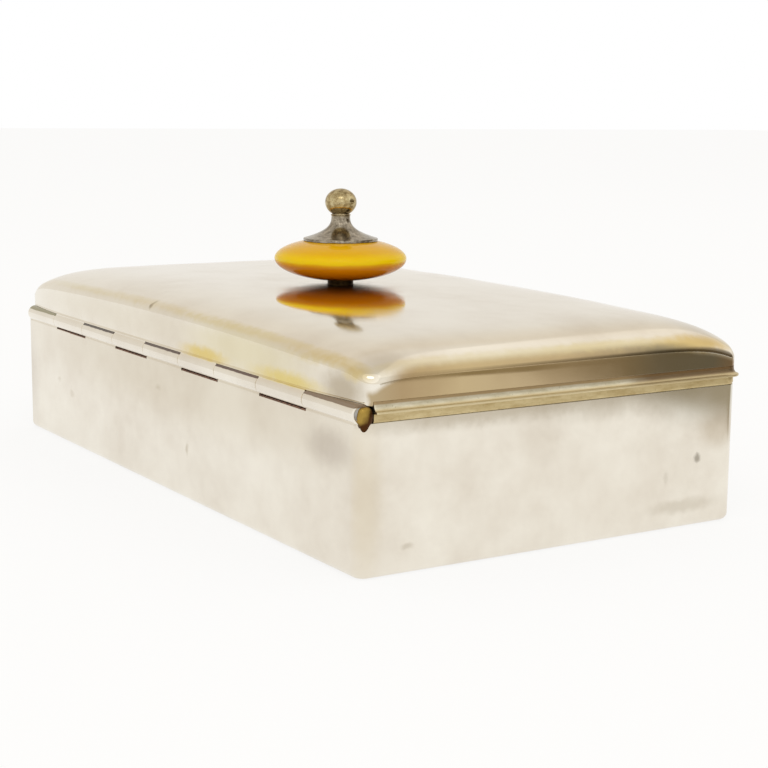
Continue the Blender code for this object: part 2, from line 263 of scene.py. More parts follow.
# Each stain or patch of painted light: middle, half sizes, how strong, colour
bodyStainsAndPaintedShade = [
    # under the rim: painted shade, grey brown on the left end, and a bluer painted reflection towards the
    # front
    ((-82.5, 20, 28.6), (2, 34, 3.2), 0.55, "#A4957A"),
    ((-82.5, -12, 28.6), (2, 24, 4.6), 0.42, "#A0937A"),
    ((-82.5, -36, 27.5), (2, 17, 7.0), 0.35, "#B0AFA4"),
    ((-82.5, -40, 19.5), (2, 6, 4.5), 0.35, "#A8916C"),
    # the back wall is darker and yellower towards the hinge
    ((-8, 45, 25), (92, 2, 10), 0.32, "#C4B596"),
    ((-72, 45, 22.5), (9, 4, 4.2), 0.3, "#8E7C70"),
    # the next patch is painted shade down the rounded near corner
    ((-82.5, 43.5, 14), (3, 4, 17), 0.22, "#D0BD90"),
    ((82.5, 45, 14), (8, 4, 17), 0.22, "#A89F98"),
    ((52.3, 45, 13), (1.6, 1, 1.1), 0.2, "#A08E6A"),
    ((60.5, 45, 15.4), (1.3, 1, 0.7), 0.18, "#A08E6A"),
    ((1.5, 45, 22.3), (1.6, 1, 0.8), 0.25, "#A5946F"),
    ((-12.9, 45, 11.2), (0.7, 1, 1.5), 0.38, "#A5946F"),
    ((-82.5, -34.5, 14), (1, 1.1, 1.0), 0.6, "#6F6654"),
    ((-82.5, -26.4, 10.8), (1, 0.8, 1.4), 0.2, "#A39A86"),
    ((-82.5, -31, 4.6), (2, 10, 1.7), 0.3, "#A4957A"),
    ((-82.5, 34.6, 5.2), (2, 1.6, 0.8), 0.3, "#A4957A"),
]
lidStainsAndPaintedLight = [
    ((6.2, 43.9, 39.9), (0.8, 1.8, 1.1), 0.75, "#7A6848"),
    # painted shade: the back wall darker than the dome, and darker still beside the near corner
    ((0, 44.6, 35.5), (80, 2.5, 4.6), 0.28, "#CDBFA0"),
    ((-75.5, 44.0, 33.4), (7.5, 2.2, 4.0), 0.68, "#A8977A"),
    # yellow where the plate is rubbed through: two patches on the back wall, and along the creases; along
    # the near end's crease it is also a painted highlight
    ((-39, 44.6, 35.5), (27, 2.2, 5.5), 0.5, "#DDD1A2"),
    ((-21, 44.8, 32.5), (12, 1.2, 1.9), 0.85, "#DCC264"),
    ((-56, 44.6, 32.3), (15, 1.4, 2.2), 0.8, "#DEC768"),
    ((-28, 43.2, 39.3), (36, 1.8, 1.0), 0.6, "#DFD19A"),
    ((-66, 43.1, 37.7), (16, 2.0, 1.5), 0.75, "#D9C484"),
    ((-78.5, 42.8, 36.6), (4, 2.4, 1.7), 0.75, "#D6C080"),
    ((38, 43.1, 39.2), (44, 1.6, 0.9), 0.35, "#DDD2A4"),
    # along the near end's crease: brass showing through, and a painted highlight of the lit rounded edge
    ((-82, -2, 37.8), (3, 44, 2.4), 0.55, "#E0D6AE"),
    ((-81.4, -33, 37), (3, 15, 2.4), 0.8, "#D2B468"),
    # brown on the dome towards the near end: tarnish, and a painted reflection of a darker room
    ((-78.5, 38.5, 38), (6, 6, 3), 0.3, "#A48C6C"),
    ((-72, -38, 39), (12, 6, 4), 0.25, "#8A7256"),
]
# Brown-gold on the lid's upright walls: partly a tarnish film that old polish leaves, partly painted
# reflection
wallTarnishAndReflection = {
    "strength": 0.9,
    # measured up the wall from where the rounded edge starts to lean in
    "fade": (0.2, 1.7),
    # the edge swells towards both corners: along Y from, to, and how far the tarnish and painted reflection
    # drop
    "bulbs": [(31, 42, 2.4), (-16, -34, 1.0)],
    # full on the left end and none on the hinge side: axis, from, to, and the share before
    "limits": [("X", -80, -82, 0.35), ("Y", 43.2, 42.2, 0)],
    # from the front end of the wall to the hinge
    "length": (-45, 45),
    "colours": [
        (0.0, "#9A7850"),
        (0.08, "#77705F"),
        (0.24, "#7C7058"),
        (0.34, "#A08B68"),
        (0.5, "#B49C74"),
        (0.76, "#BFA778"),
        (0.9, "#A88C5E"),
        (1.0, "#B5A27C"),
    ],
}
# Plate rubbed through along the lid's crease, in patches
creaseWear = {
    "strength": 0.5,
    "wander": 1.4,
    "above": 2.2,
    "width": (0.1, 1.5),
    "patches": (0.4, 0.62),
    "leastPatch": 0.15,
}
# Pits and short scratches round the knob's foot
knobScars = {
    "middle": (0, 0, 43),
    "reach": (9, 25),
    "strength": 0.85,
    "pitSize": 0.909,
    "pitShare": (0.63, 0.69),
    "colour": "#4A3E30",
}


def addStainsAndPaintedLight(tree, place, colour, stainsAndPaintedLight):
    # each stain or patch of painted light is a soft round patch laid over the colour so far
    for middle, size, strength, patchColour in stainsAndPaintedLight:
        offset = addNode(tree, "ShaderNodeVectorMath", {"operation": "SUBTRACT"}, {0: place, 1: middle})
        reach = addNode(tree, "ShaderNodeVectorMath", {"operation": "DIVIDE"}, {
            0: offset.outputs[0],
            1: size,
        })
        distance = addNode(tree, "ShaderNodeVectorMath", {"operation": "LENGTH"}, {0: reach.outputs[0]})
        mask = addNode(tree, "ShaderNodeMapRange", {"interpolation_type": "SMOOTHSTEP"}, {
            "Value": distance.outputs["Value"],
            "From Min": 0.25,
            "From Max": 1.25,
            "To Min": strength,
            "To Max": 0,
        })
        patched = addNode(tree, "ShaderNodeMix", {"data_type": "RGBA"}, {
            0: mask.outputs["Result"],
            6: colour,
            7: patchColour,
        })
        colour = patched.outputs[2]
    return colour


def addWallTarnishAndReflection(tree, place, edgeRun, colour):
    w = wallTarnishAndReflection
    spot = addNode(tree, "ShaderNodeSeparateXYZ", {}, {"Vector": place})
    along = addNode(tree, "ShaderNodeMapRange", {}, {
        "Value": spot.outputs["Y"],
        "From Min": w["length"][0],
        "From Max": w["length"][1],
    })
    film = addNode(tree, "ShaderNodeValToRGB", {}, {"Fac": along.outputs["Result"]}, w["colours"])
    rise = edgeRun
    for start, full, fall in w["bulbs"]:
        towardsCorner = addNode(tree, "ShaderNodeMapRange", {}, {
            "Value": spot.outputs["Y"],
            "From Min": start,
            "From Max": full,
        })
        swell = addNode(tree, "ShaderNodeMath", {"operation": "POWER"}, {
            0: towardsCorner.outputs["Result"],
            1: 2,
        })
        rise = addNode(tree, "ShaderNodeMath", {"operation": "MULTIPLY_ADD"}, {
            0: swell.outputs[0],
            1: fall,
            2: rise,
        }).outputs[0]
    # painted reflection and tarnish over the wall, fading out towards the dome
    below = addNode(tree, "ShaderNodeMapRange", {"interpolation_type": "SMOOTHSTEP"}, {
        "Value": rise,
        "From Min": w["fade"][0],
        "From Max": w["fade"][1],
        "To Min": w["strength"],
        "To Max": 0,
    })
    amount = below.outputs["Result"]
    for axis, start, full, least in w["limits"]:
        limit = addNode(tree, "ShaderNodeMapRange", {"interpolation_type": "SMOOTHSTEP"}, {
            "Value": spot.outputs[axis],
            "From Min": start,
            "From Max": full,
            "To Min": least,
        })
        amount = addNode(tree, "ShaderNodeMath", {"operation": "MULTIPLY"}, {
            0: amount,
            1: limit.outputs["Result"],
        }).outputs[0]
    tarnishAndReflection = addNode(tree, "ShaderNodeMix", {"data_type": "RGBA"}, {
        0: amount,
        6: colour,
        7: film.outputs["Color"],
    })
    return tarnishAndReflection.outputs[2]


def addCreaseWear(tree, ragged, cloud, edgeRun, colour):
    c = creaseWear
    wander = addNode(tree, "ShaderNodeMath", {"operation": "MULTIPLY_ADD"}, {
        0: ragged,
        1: c["wander"],
        2: edgeRun,
    })
    fromCrease = addNode(tree, "ShaderNodeMath", {"operation": "SUBTRACT"}, {
        0: wander.outputs[0],
        1: c["above"],
    })
    away = addNode(tree, "ShaderNodeMath", {"operation": "ABSOLUTE"}, {0: fromCrease.outputs[0]})
    worn = addNode(tree, "ShaderNodeMapRange", {"interpolation_type": "SMOOTHSTEP"}, {
        "Value": away.outputs[0],
        "From Min": c["width"][0],
        "From Max": c["width"][1],
        "To Min": c["strength"],
        "To Max": 0,
    })
    patchy = addNode(tree, "ShaderNodeMapRange", {}, {
        "Value": cloud,
        "From Min": c["patches"][0],
        "From Max": c["patches"][1],
        "To Min": c["leastPatch"],
        "To Max": 1,
    })
    share = addNode(tree, "ShaderNodeMath", {"operation": "MULTIPLY"}, {
        0: worn.outputs["Result"],
        1: patchy.outputs["Result"],
    })
    rubbed = addNode(tree, "ShaderNodeMix", {"data_type": "RGBA"}, {
        0: share.outputs[0],
        6: colour,
        7: plateLook["brass"],
    })
    return rubbed.outputs[2]


def addKnobScars(tree, place, colour):
    k = knobScars
    offset = addNode(tree, "ShaderNodeVectorMath", {"operation": "SUBTRACT"}, {0: place, 1: k["middle"]})
    foot = addNode(tree, "ShaderNodeVectorMath", {"operation": "LENGTH"}, {0: offset.outputs[0]})
    near = addNode(tree, "ShaderNodeMapRange", {"interpolation_type": "SMOOTHSTEP"}, {
        "Value": foot.outputs["Value"],
        "From Min": k["reach"][0],
        "From Max": k["reach"][1],
        "To Min": k["strength"],
        "To Max": 0,
    })
    pits = addNode(tree, "ShaderNodeTexNoise", {}, {
        "Vector": place,
        "Scale": 1 / k["pitSize"],
        "Detail": 3,
        "Roughness": 0.75,
        "Distortion": 1.5,
    })
    pitted = addNode(tree, "ShaderNodeMapRange", {}, {
        "Value": pits.outputs["Fac"],
        "From Min": k["pitShare"][0],
        "From Max": k["pitShare"][1],
    })
    scarred = addNode(tree, "ShaderNodeMath", {"operation": "MULTIPLY"}, {
        0: near.outputs["Result"],
        1: pitted.outputs["Result"],
    })
    worked = addNode(tree, "ShaderNodeMix", {"data_type": "RGBA"}, {
        0: scarred.outputs[0],
        6: colour,
        7: k["colour"],
    })
    return worked.outputs[2]


def makeSilverPlate(name, stainsAndPaintedLight, creased=False, roughness=0):
    p = plateLook
    material, tree, shader, place = newFinish(name)
    cloud = addNode(tree, "ShaderNodeTexNoise", {}, {
        "Vector": place,
        "Scale": 1 / p["cloudSize"],
        "Detail": 4,
        "Roughness": 0.6,
    })
    # hand rubbing leaves smudges that run a little lengthways
    rubbing = addNode(tree, "ShaderNodeMapping", {}, {"Vector": place, "Scale": (0.8, 1, 1)})
    smudge = addNode(tree, "ShaderNodeTexNoise", {}, {
        "Vector": rubbing.outputs["Vector"],
        "Scale": 1 / p["smudgeSize"],
        "Detail": 5,
        "Roughness": 0.6,
    })
    haze = addNode(tree, "ShaderNodeMath", {"operation": "MULTIPLY"}, {
        0: cloud.outputs["Fac"],
        1: smudge.outputs["Fac"],
    })
    tone = addNode(tree, "ShaderNodeValToRGB", {}, {"Fac": haze.outputs[0]}, [
        (p["haze"][0], p["pale"]),
        (p["haze"][1], p["dull"]),
    ])
    # uneven edges for the stains, the painted light and the wear
    ragged = addNode(tree, "ShaderNodeTexNoise", {}, {
        "Vector": place,
        "Scale": 1 / p["raggedSize"],
        "Detail": 6,
    })
    shifted = addNode(tree, "ShaderNodeVectorMath", {"operation": "MULTIPLY_ADD"}, {
        0: ragged.outputs["Color"],
        1: (p["ragged"],) * 3,
        2: place,
    })
    centred = addNode(tree, "ShaderNodeVectorMath", {"operation": "SUBTRACT"}, {
        0: shifted.outputs[0],
        1: (p["ragged"] / 2,) * 3,
    }).outputs[0]
    colour = addStainsAndPaintedLight(tree, centred, tone.outputs["Color"], stainsAndPaintedLight)
    if creased:
        run = addNode(tree, "ShaderNodeAttribute", {"attribute_name": "edgeRun"}, {}).outputs["Fac"]
        colour = addWallTarnishAndReflection(tree, centred, run, colour)
        colour = addCreaseWear(tree, ragged.outputs["Fac"], cloud.outputs["Fac"], run, colour)
        colour = addKnobScars(tree, place, colour)
    tree.links.new(colour, shader.inputs["Base Color"])
    shader.inputs["Metallic"].default_value = 1
    gloss = addNode(tree, "ShaderNodeMapRange", {}, {
        "Value": haze.outputs[0],
        "From Min": p["haze"][0],
        "From Max": p["haze"][1],
        "To Min": p["roughness"] + roughness,
        "To Max": p["hazeRoughness"] + roughness,
    })
    tree.links.new(gloss.outputs["Result"], shader.inputs["Roughness"])
    # sheet worked by hand is never quite flat, and cloths leave fine lines along it
    swell = addNode(tree, "ShaderNodeTexNoise", {}, {
        "Vector": place,
        "Scale": 1 / p["waveSize"],
        "Detail": 1,
    })
    wave = addNode(tree, "ShaderNodeBump", {}, {
        "Height": swell.outputs["Fac"],
        "Distance": p["waveDepth"] * mm,
        "Strength": 1,
    })
    along = addNode(tree, "ShaderNodeMapping", {}, {"Vector": place, "Scale": (0.04, 1, 1)})
    lines = addNode(tree, "ShaderNodeTexNoise", {}, {
        "Vector": along.outputs["Vector"],
        "Scale": 1 / p["scratchWidth"],
        "Detail": 3,
        "Roughness": 0.7,
    })
    scratch = addNode(tree, "ShaderNodeBump", {}, {
        "Height": lines.outputs["Fac"],
        "Distance": p["scratchDepth"] * mm,
        "Normal": wave.outputs["Normal"],
    })
    tree.links.new(scratch.outputs["Normal"], shader.inputs["Normal"])
    return material


# Old polish dried along the hinge, with painted shade, in the crevice beside the other half's wall
creviceLook = {
    # height of its middle, and half its width
    "box": (31.6, 0.5),
    "lid": (27.95, 0.16),
    "crustSize": 1.6667,
    "uneven": 0.2,
    "soft": 0.06,
    "length": (-82, 80),
    # from the hinge's left end to its right: soft brown, near black, then greenish grey
    "colours": [
        (0.0, "#86715A"),
        (0.12, "#7A6450"),
        (0.24, "#56382B"),
        (0.8, "#35261B"),
        (0.9, "#8F8866"),
    ],
}


def makeHingePlate(name, crevice, half):
    # plated tube with a matt brown line in the crevice: dried polish where the cloth can't reach, and
    # painted shade
    c = creviceLook
    material = makeSilverPlate(name, [])
    tree = material.node_tree
    shader = tree.nodes["Principled BSDF"]
    clean = shader.inputs["Base Color"].links[0].from_socket
    spot = addNode(tree, "ShaderNodeTexCoord", {}, {})
    place = addNode(tree, "ShaderNodeSeparateXYZ", {}, {"Vector": spot.outputs["Object"]})
    crust = addNode(tree, "ShaderNodeTexNoise", {}, {
        "Vector": spot.outputs["Object"],
        "Scale": 1 / (c["crustSize"] * mm),
        "Detail": 4,
    })
    level = addNode(tree, "ShaderNodeMath", {"operation": "MULTIPLY_ADD"}, {
        0: crust.outputs["Fac"],
        1: c["uneven"] * mm,
        2: place.outputs["Z"],
    })
    above = addNode(tree, "ShaderNodeMath", {"operation": "SUBTRACT"}, {
        0: level.outputs[0],
        1: (crevice + c["uneven"] / 2) * mm,
    })
    away = addNode(tree, "ShaderNodeMath", {"operation": "ABSOLUTE"}, {0: above.outputs[0]})
    # the crevice line: dried polish and painted shade
    polishAndShadeMask = addNode(tree, "ShaderNodeMapRange", {"interpolation_type": "SMOOTHSTEP"}, {
        "Value": away.outputs[0],
        "From Min": (half + c["soft"]) * mm,
        "From Max": (half - c["soft"]) * mm,
    })
    along = addNode(tree, "ShaderNodeMapRange", {}, {
        "Value": place.outputs["X"],
        "From Min": c["length"][0] * mm,
        "From Max": c["length"][1] * mm,
    })
    film = addNode(tree, "ShaderNodeValToRGB", {}, {"Fac": along.outputs["Result"]}, c["colours"])
    polishAndShadeMixed = addNode(tree, "ShaderNodeMix", {"data_type": "RGBA"}, {
        0: polishAndShadeMask.outputs["Result"],
        6: clean,
        7: film.outputs["Color"],
    })
    tree.links.new(polishAndShadeMixed.outputs[2], shader.inputs["Base Color"])
    bare = addNode(tree, "ShaderNodeMath", {"operation": "SUBTRACT"}, {0: 1, 1: polishAndShadeMask.outputs["Result"]})
    tree.links.new(bare.outputs[0], shader.inputs["Metallic"])
    return material


# Drawn brass strip, once plated: yellow on the faces that hands and cloths reach, grey in the hollow
bandLook = {
    # bright, dull and roughness
    "rim": ("#D6C497", "#BCA676", 0.3),
    "moulding": ("#DDD6C0", "#C3BA9E", 0.3),
    "patchSize": 1.4286,
    "rubDepth": 0.03,
    "speckSize": 0.4167,
    "speck": "#8A7A4C",
    # on the moulding: axis, from, to, strength, colour. Brown at its top and dark in all the hollow towards
    # the front, partly tarnish and partly painted reflection, and yellow along its tip
    "filmsAndReflections": [
        ("Z", 31.4, 31.7, 0.9, "#A58A62"),
        ("Y", -13, -22, 0.85, "#7A6040"),
        ("Z", 31.0, 30.5, 0.8, "#DCCBA0"),
    ],
}


def makeWornBrass(name, bright, dull, roughness):
    b = bandLook
    material, tree, shader, place = newFinish(name)
    along = addNode(tree, "ShaderNodeMapping", {}, {"Vector": place, "Scale": (0.3, 0.3, 1)})
    patches = addNode(tree, "ShaderNodeTexNoise", {}, {
        "Vector": along.outputs["Vector"],
        "Scale": 1 / b["patchSize"],
        "Detail": 6,
        "Roughness": 0.65,
    })
    tone = addNode(tree, "ShaderNodeValToRGB", {}, {"Fac": patches.outputs["Fac"]}, [
        (0.4, bright),
        (0.68, dull),
    ])
    specks = addNode(tree, "ShaderNodeTexNoise", {}, {
        "Vector": place,
        "Scale": 1 / b["speckSize"],
        "Detail": 3,
    })
    speckMask = addNode(tree, "ShaderNodeMapRange", {}, {
        "Value": specks.outputs["Fac"],
        "From Min": 0.62,
        "From Max": 0.72,
        "To Min": 0,
        "To Max": 0.45,
    })
    speckled = addNode(tree, "ShaderNodeMix", {"data_type": "RGBA"}, {
        0: speckMask.outputs["Result"],
        6: tone.outputs["Color"],
        7: b["speck"],
    })
    tree.links.new(speckled.outputs[2], shader.inputs["Base Color"])
    shader.inputs["Metallic"].default_value = 1
    gloss = addNode(tree, "ShaderNodeMapRange", {}, {
        "Value": patches.outputs["Fac"],
        "From Min": 0.3,
        "From Max": 0.7,
        "To Min": roughness,
        "To Max": roughness + 0.14,
    })
    tree.links.new(gloss.outputs["Result"], shader.inputs["Roughness"])
    rub = addNode(tree, "ShaderNodeBump", {}, {
        "Height": patches.outputs["Fac"],
        "Distance": b["rubDepth"] * mm,
    })
    tree.links.new(rub.outputs["Normal"], shader.inputs["Normal"])
    return material


def shadeMoulding(material):
    tree = material.node_tree
    shader = tree.nodes["Principled BSDF"]
    colour = shader.inputs["Base Color"].links[0].from_socket
    spot = addNode(tree, "ShaderNodeTexCoord", {}, {})
    place = addNode(tree, "ShaderNodeSeparateXYZ", {}, {"Vector": spot.outputs["Object"]})
    # the brown and dark films are partly tarnish and partly painted reflection
    for axis, start, full, strength, film in bandLook["filmsAndReflections"]:
        reach = addNode(tree, "ShaderNodeMapRange", {"interpolation_type": "SMOOTHSTEP"}, {
            "Value": place.outputs[axis],
            "From Min": start * mm,
            "From Max": full * mm,
            "To Max": strength,
        })
        tarnishAndReflection = addNode(tree, "ShaderNodeMix", {"data_type": "RGBA"}, {
            0: reach.outputs["Result"],
            6: colour,
            7: film,
        })
        colour = tarnishAndReflection.outputs[2]
    tree.links.new(colour, shader.inputs["Base Color"])


# Tin-lead solder run into the joint and gone brown: dull gold, darker lower down
solderLook = {
    "clean": (0.28, "#A98C46"),
    "darkLow": (0.52, "#4C2F18"),
    "roughness": 0.38,
    "grimeSize": 2,
    "lumpDepth": 0.25,
    # how fast it darkens outwards and down, and where the ramp starts
    "darkening": (0, -0.16, -0.12),
    "start": 10.7,
}


def makeSolder():
    s = solderLook
    material, tree, shader, place = newFinish("browned_solder")
    grime = addNode(tree, "ShaderNodeTexNoise", {}, {
        "Vector": place,
        "Scale": 1 / s["grimeSize"],
        "Detail": 4,
    })
    across = addNode(tree, "ShaderNodeVectorMath", {"operation": "DOT_PRODUCT"}, {
        0: place,
        1: s["darkening"],
    })
    depth = addNode(tree, "ShaderNodeMath", {"operation": "MULTIPLY_ADD"}, {
        0: grime.outputs["Fac"],
        1: 0.5,
        2: across.outputs["Value"],
    })
    level = addNode(tree, "ShaderNodeMath", {"operation": "ADD"}, {0: depth.outputs[0], 1: s["start"]})
    tone = addNode(tree, "ShaderNodeValToRGB", {}, {"Fac": level.outputs[0]}, [s["clean"], s["darkLow"]])
    tree.links.new(tone.outputs["Color"], shader.inputs["Base Color"])
    shader.inputs["Metallic"].default_value = 1
    shader.inputs["Roughness"].default_value = s["roughness"]
    lumps = addNode(tree, "ShaderNodeBump", {}, {
        "Height": grime.outputs["Fac"],
        "Distance": s["lumpDepth"] * mm,
    })
    tree.links.new(lumps.outputs["Normal"], shader.inputs["Normal"])
    return material


# Turned and plated brass, handled at the ball and tarnished below: brassy brown above, pewter grey
# in the neck, partly tarnish and partly painted reflection, with dark specks where the plate has pitted
turnedLook = {
    "brassy": [(0.34, "#D6C89E"), (0.52, "#A8946A"), (0.7, "#655336")],
    "pewter": [(0.36, "#B5AB9A"), (0.66, "#685E4F")],
    "brassyFrom": (57.6, 59.6),
    "mottleSize": 1.3333,
    "pit": "#4A3B24",
    "pitSize": 0.3125,
    "roughness": (0.08, 0.22),
    "dentDepth": 0.015,
}


def makeTarnishedSilverPaintedReflection():
    t = turnedLook
    material, tree, shader, place = newFinish("tarnished_turned_plate_painted_reflection")
    height = addNode(tree, "ShaderNodeSeparateXYZ", {}, {"Vector": place})
    mottle = addNode(tree, "ShaderNodeTexNoise", {}, {
        "Vector": place,
        "Scale": 1 / t["mottleSize"],
        "Detail": 7,
        "Roughness": 0.7,
    })
    brassy = addNode(tree, "ShaderNodeValToRGB", {}, {"Fac": mottle.outputs["Fac"]}, t["brassy"])
    pewter = addNode(tree, "ShaderNodeValToRGB", {}, {"Fac": mottle.outputs["Fac"]}, t["pewter"])
    upper = addNode(tree, "ShaderNodeMapRange", {"interpolation_type": "SMOOTHSTEP"}, {
        "Value": height.outputs["Z"],
        "From Min": t["brassyFrom"][0],
        "From Max": t["brassyFrom"][1],
    })
    # the neck's pewter grey is partly tarnish and partly painted reflection of the disc and lid
    tone = addNode(tree, "ShaderNodeMix", {"data_type": "RGBA"}, {
        0: upper.outputs["Result"],
        6: pewter.outputs["Color"],
        7: brassy.outputs["Color"],
    })
    pits = addNode(tree, "ShaderNodeTexNoise", {}, {
        "Vector": place,
        "Scale": 1 / t["pitSize"],
        "Detail": 2,
    })
    pitMask = addNode(tree, "ShaderNodeMapRange", {}, {
        "Value": pits.outputs["Fac"],
        "From Min": 0.6,
        "From Max": 0.7,
        "To Min": 0,
        "To Max": 0.7,
    })
    pitted = addNode(tree, "ShaderNodeMix", {"data_type": "RGBA"}, {
        0: pitMask.outputs["Result"],
        6: tone.outputs[2],
        7: t["pit"],
    })
    tree.links.new(pitted.outputs[2], shader.inputs["Base Color"])
    shader.inputs["Metallic"].default_value = 1
    gloss = addNode(tree, "ShaderNodeMapRange", {}, {
        "Value": mottle.outputs["Fac"],
        "From Min": 0.3,
        "From Max": 0.7,
        "To Min": t["roughness"][0],
        "To Max": t["roughness"][1],
    })
    tree.links.new(gloss.outputs["Result"], shader.inputs["Roughness"])
    dents = addNode(tree, "ShaderNodeBump", {}, {
        "Height": mottle.outputs["Fac"],
        "Distance": t["dentDepth"] * mm,
    })
    tree.links.new(dents.outputs["Normal"], shader.inputs["Normal"])
    return material


# Cast phenolic resin, buffed: glossy egg-yolk amber with faint swirls from the pouring. Light
# carried through its thin edge and painted light show yellow there; the underside is orange painted shade,
# near black at the foot
amberLook = {
    "bottom": 43.7,
    "top": 53.5,
    "swirlSize": 6.25,
    "swirlDepth": 0.9,
    "bendSize": 8.3333,
    "bend": (9, 9, 4),
    "buffSize": 0.6667,
    "buffDepth": 0.004,
    "roughness": 0.1,
    "ior": 1.36,
    "specular": 0.3,
    "scatter": 0.06,
    "scatterDepth": 1,
    # painted light and shade by height: near black at the foot, orange underside, bright yellow band at the
    # edge
    "colours": [
        (0.0, "#241505"),
        (0.05, "#8A4E00"),
        (0.16, "#C46E00"),
        (0.38, "#D58400"),
        (0.45, "#E2A400"),
        (0.5, "#F0CC00"),
        (0.6, "#EEC600"),
        (0.72, "#E2AE00"),
        (1.0, "#DDA200"),
    ],
}


def makeAmberResin():
    a = amberLook
    material, tree, shader, place = newFinish("cast_amber_resin")
    bent = addNode(tree, "ShaderNodeTexNoise", {}, {
        "Vector": place,
        "Scale": 1 / a["bendSize"],
        "Detail": 2,
    })
    twisted = addNode(tree, "ShaderNodeVectorMath", {"operation": "MULTIPLY_ADD"}, {
        0: bent.outputs["Color"],
        1: a["bend"],
        2: place,
    })
    swirl = addNode(tree, "ShaderNodeTexNoise", {}, {
        "Vector": twisted.outputs[0],
        "Scale": 1 / a["swirlSize"],
        "Detail": 4,
        "Distortion": 0.6,
    })
    height = addNode(tree, "ShaderNodeSeparateXYZ", {}, {"Vector": place})
    drift = addNode(tree, "ShaderNodeMath", {"operation": "MULTIPLY_ADD"}, {
        0: swirl.outputs["Fac"],
        1: a["swirlDepth"],
        2: height.outputs["Z"],
    })
    level = addNode(tree, "ShaderNodeMapRange", {}, {
        "Value": drift.outputs[0],
        "From Min": a["bottom"] + a["swirlDepth"] / 2,
        "From Max": a["top"] + a["swirlDepth"] / 2,
    })
    tone = addNode(tree, "ShaderNodeValToRGB", {}, {"Fac": level.outputs["Result"]}, a["colours"])
    tree.links.new(tone.outputs["Color"], shader.inputs["Base Color"])
    shader.inputs["Roughness"].default_value = a["roughness"]
    shader.inputs["IOR"].default_value = a["ior"]
    shader.inputs["Specular IOR Level"].default_value = a["specular"]
    shader.inputs["Subsurface Weight"].default_value = a["scatter"]
    shader.inputs["Subsurface Radius"].default_value = (1, 0.5, 0.1)
    shader.inputs["Subsurface Scale"].default_value = a["scatterDepth"] * mm
    fine = addNode(tree, "ShaderNodeTexNoise", {}, {
        "Vector": place,
        "Scale": 1 / a["buffSize"],
        "Detail": 3,
    })
    buffing = addNode(tree, "ShaderNodeBump", {}, {
        "Height": fine.outputs["Fac"],
        "Distance": a["buffDepth"] * mm,
    })
    tree.links.new(buffing.outputs["Normal"], shader.inputs["Normal"])
    return material


# Brass collar under the knob: near black brown
darkBrassLook = {
    "tones": [(0.35, "#4A3A24"), (0.65, "#241B12")],
    "patchSize": 1.25,
    "patchDetail": 5,
    "metallic": 1,
    "roughness": 0.42,
}
# Years of polish dried in the slot under the hinge: matt, crumbly and reddish brown
driedPolishLook = {
    "tones": [(0.35, "#8A6450"), (0.65, "#462D23")],
    "patchSize": 0.4,
    "patchDetail": 4,
    "metallic": 0,
    "roughness": 0.8,
    # size, detail and depth of the crumbs
    "relief": (0.4, 4, 0.1),
}
# Bright drawn steel of the pin and the fixing: grey, with turning marks and a thin brown bloom
steelLook = {
    "tones": [(0.45, "#A9A7A2"), (0.75, "#7C6C5A")],
    "patchSize": 1.6667,
    "patchDetail": 5,
    "metallic": 1,
    "roughness": 0.3,
    "relief": (0.25, 2, 0.01),
}


def makeMottled(name, look):
    # two tones in soft patches, with a fine relief where the surface has one
    material, tree, shader, place = newFinish(name)
    patches = addNode(tree, "ShaderNodeTexNoise", {}, {
        "Vector": place,
        "Scale": 1 / look["patchSize"],
        "Detail": look["patchDetail"],
    })
    tone = addNode(tree, "ShaderNodeValToRGB", {}, {"Fac": patches.outputs["Fac"]}, look["tones"])
    tree.links.new(tone.outputs["Color"], shader.inputs["Base Color"])
    shader.inputs["Metallic"].default_value = look["metallic"]
    shader.inputs["Roughness"].default_value = look["roughness"]
    if "relief" in look:
        size, detail, depth = look["relief"]
        marks = addNode(tree, "ShaderNodeTexNoise", {}, {
            "Vector": place,
            "Scale": 1 / size,
            "Detail": detail,
        })
        rough = addNode(tree, "ShaderNodeBump", {}, {
            "Height": marks.outputs["Fac"],
            "Distance": depth * mm,
        })
        tree.links.new(rough.outputs["Normal"], shader.inputs["Normal"])
    return material


# Spanish cedar, planed and left bare: reddish brown, straight grain, small dark pores
cedarLook = {
    "light": (0.35, "#B98560"),
    "dark": (0.65, "#8A5636"),
    "pore": "#5E3520",
    "ringSpacing": 2.6,
    "poreSize": 0.4545,
    "poreDepth": 0.06,
    "roughness": 0.62,
}


def makeCedar(name, scale):
    c = cedarLook
    material, tree, shader, place = newFinish(name)
    grain = addNode(tree, "ShaderNodeMapping", {}, {"Vector": place, "Scale": scale})
    rings = addNode(tree, "ShaderNodeTexNoise", {}, {
        "Vector": grain.outputs["Vector"],
        "Scale": 1 / c["ringSpacing"],
        "Detail": 5,
        "Roughness": 0.6,
        "Distortion": 0.4,
    })
    tone = addNode(tree, "ShaderNodeValToRGB", {}, {"Fac": rings.outputs["Fac"]}, [c["light"], c["dark"]])
    pores = addNode(tree, "ShaderNodeTexNoise", {}, {
        "Vector": grain.outputs["Vector"],
        "Scale": 1 / c["poreSize"],
        "Detail": 2,
    })
    poreMask = addNode(tree, "ShaderNodeMapRange", {}, {
        "Value": pores.outputs["Fac"],
        "From Min": 0.58,
        "From Max": 0.68,
        "To Min": 0,
        "To Max": 0.6,
    })
    wood = addNode(tree, "ShaderNodeMix", {"data_type": "RGBA"}, {
        0: poreMask.outputs["Result"],
        6: tone.outputs["Color"],
        7: c["pore"],
    })
    tree.links.new(wood.outputs[2], shader.inputs["Base Color"])
    shader.inputs["Roughness"].default_value = c["roughness"]
    relief = addNode(tree, "ShaderNodeBump", {}, {
        "Height": pores.outputs["Fac"],
        "Distance": c["poreDepth"] * mm,
        "Strength": 0.6,
    })
    tree.links.new(relief.outputs["Normal"], shader.inputs["Normal"])
    return material


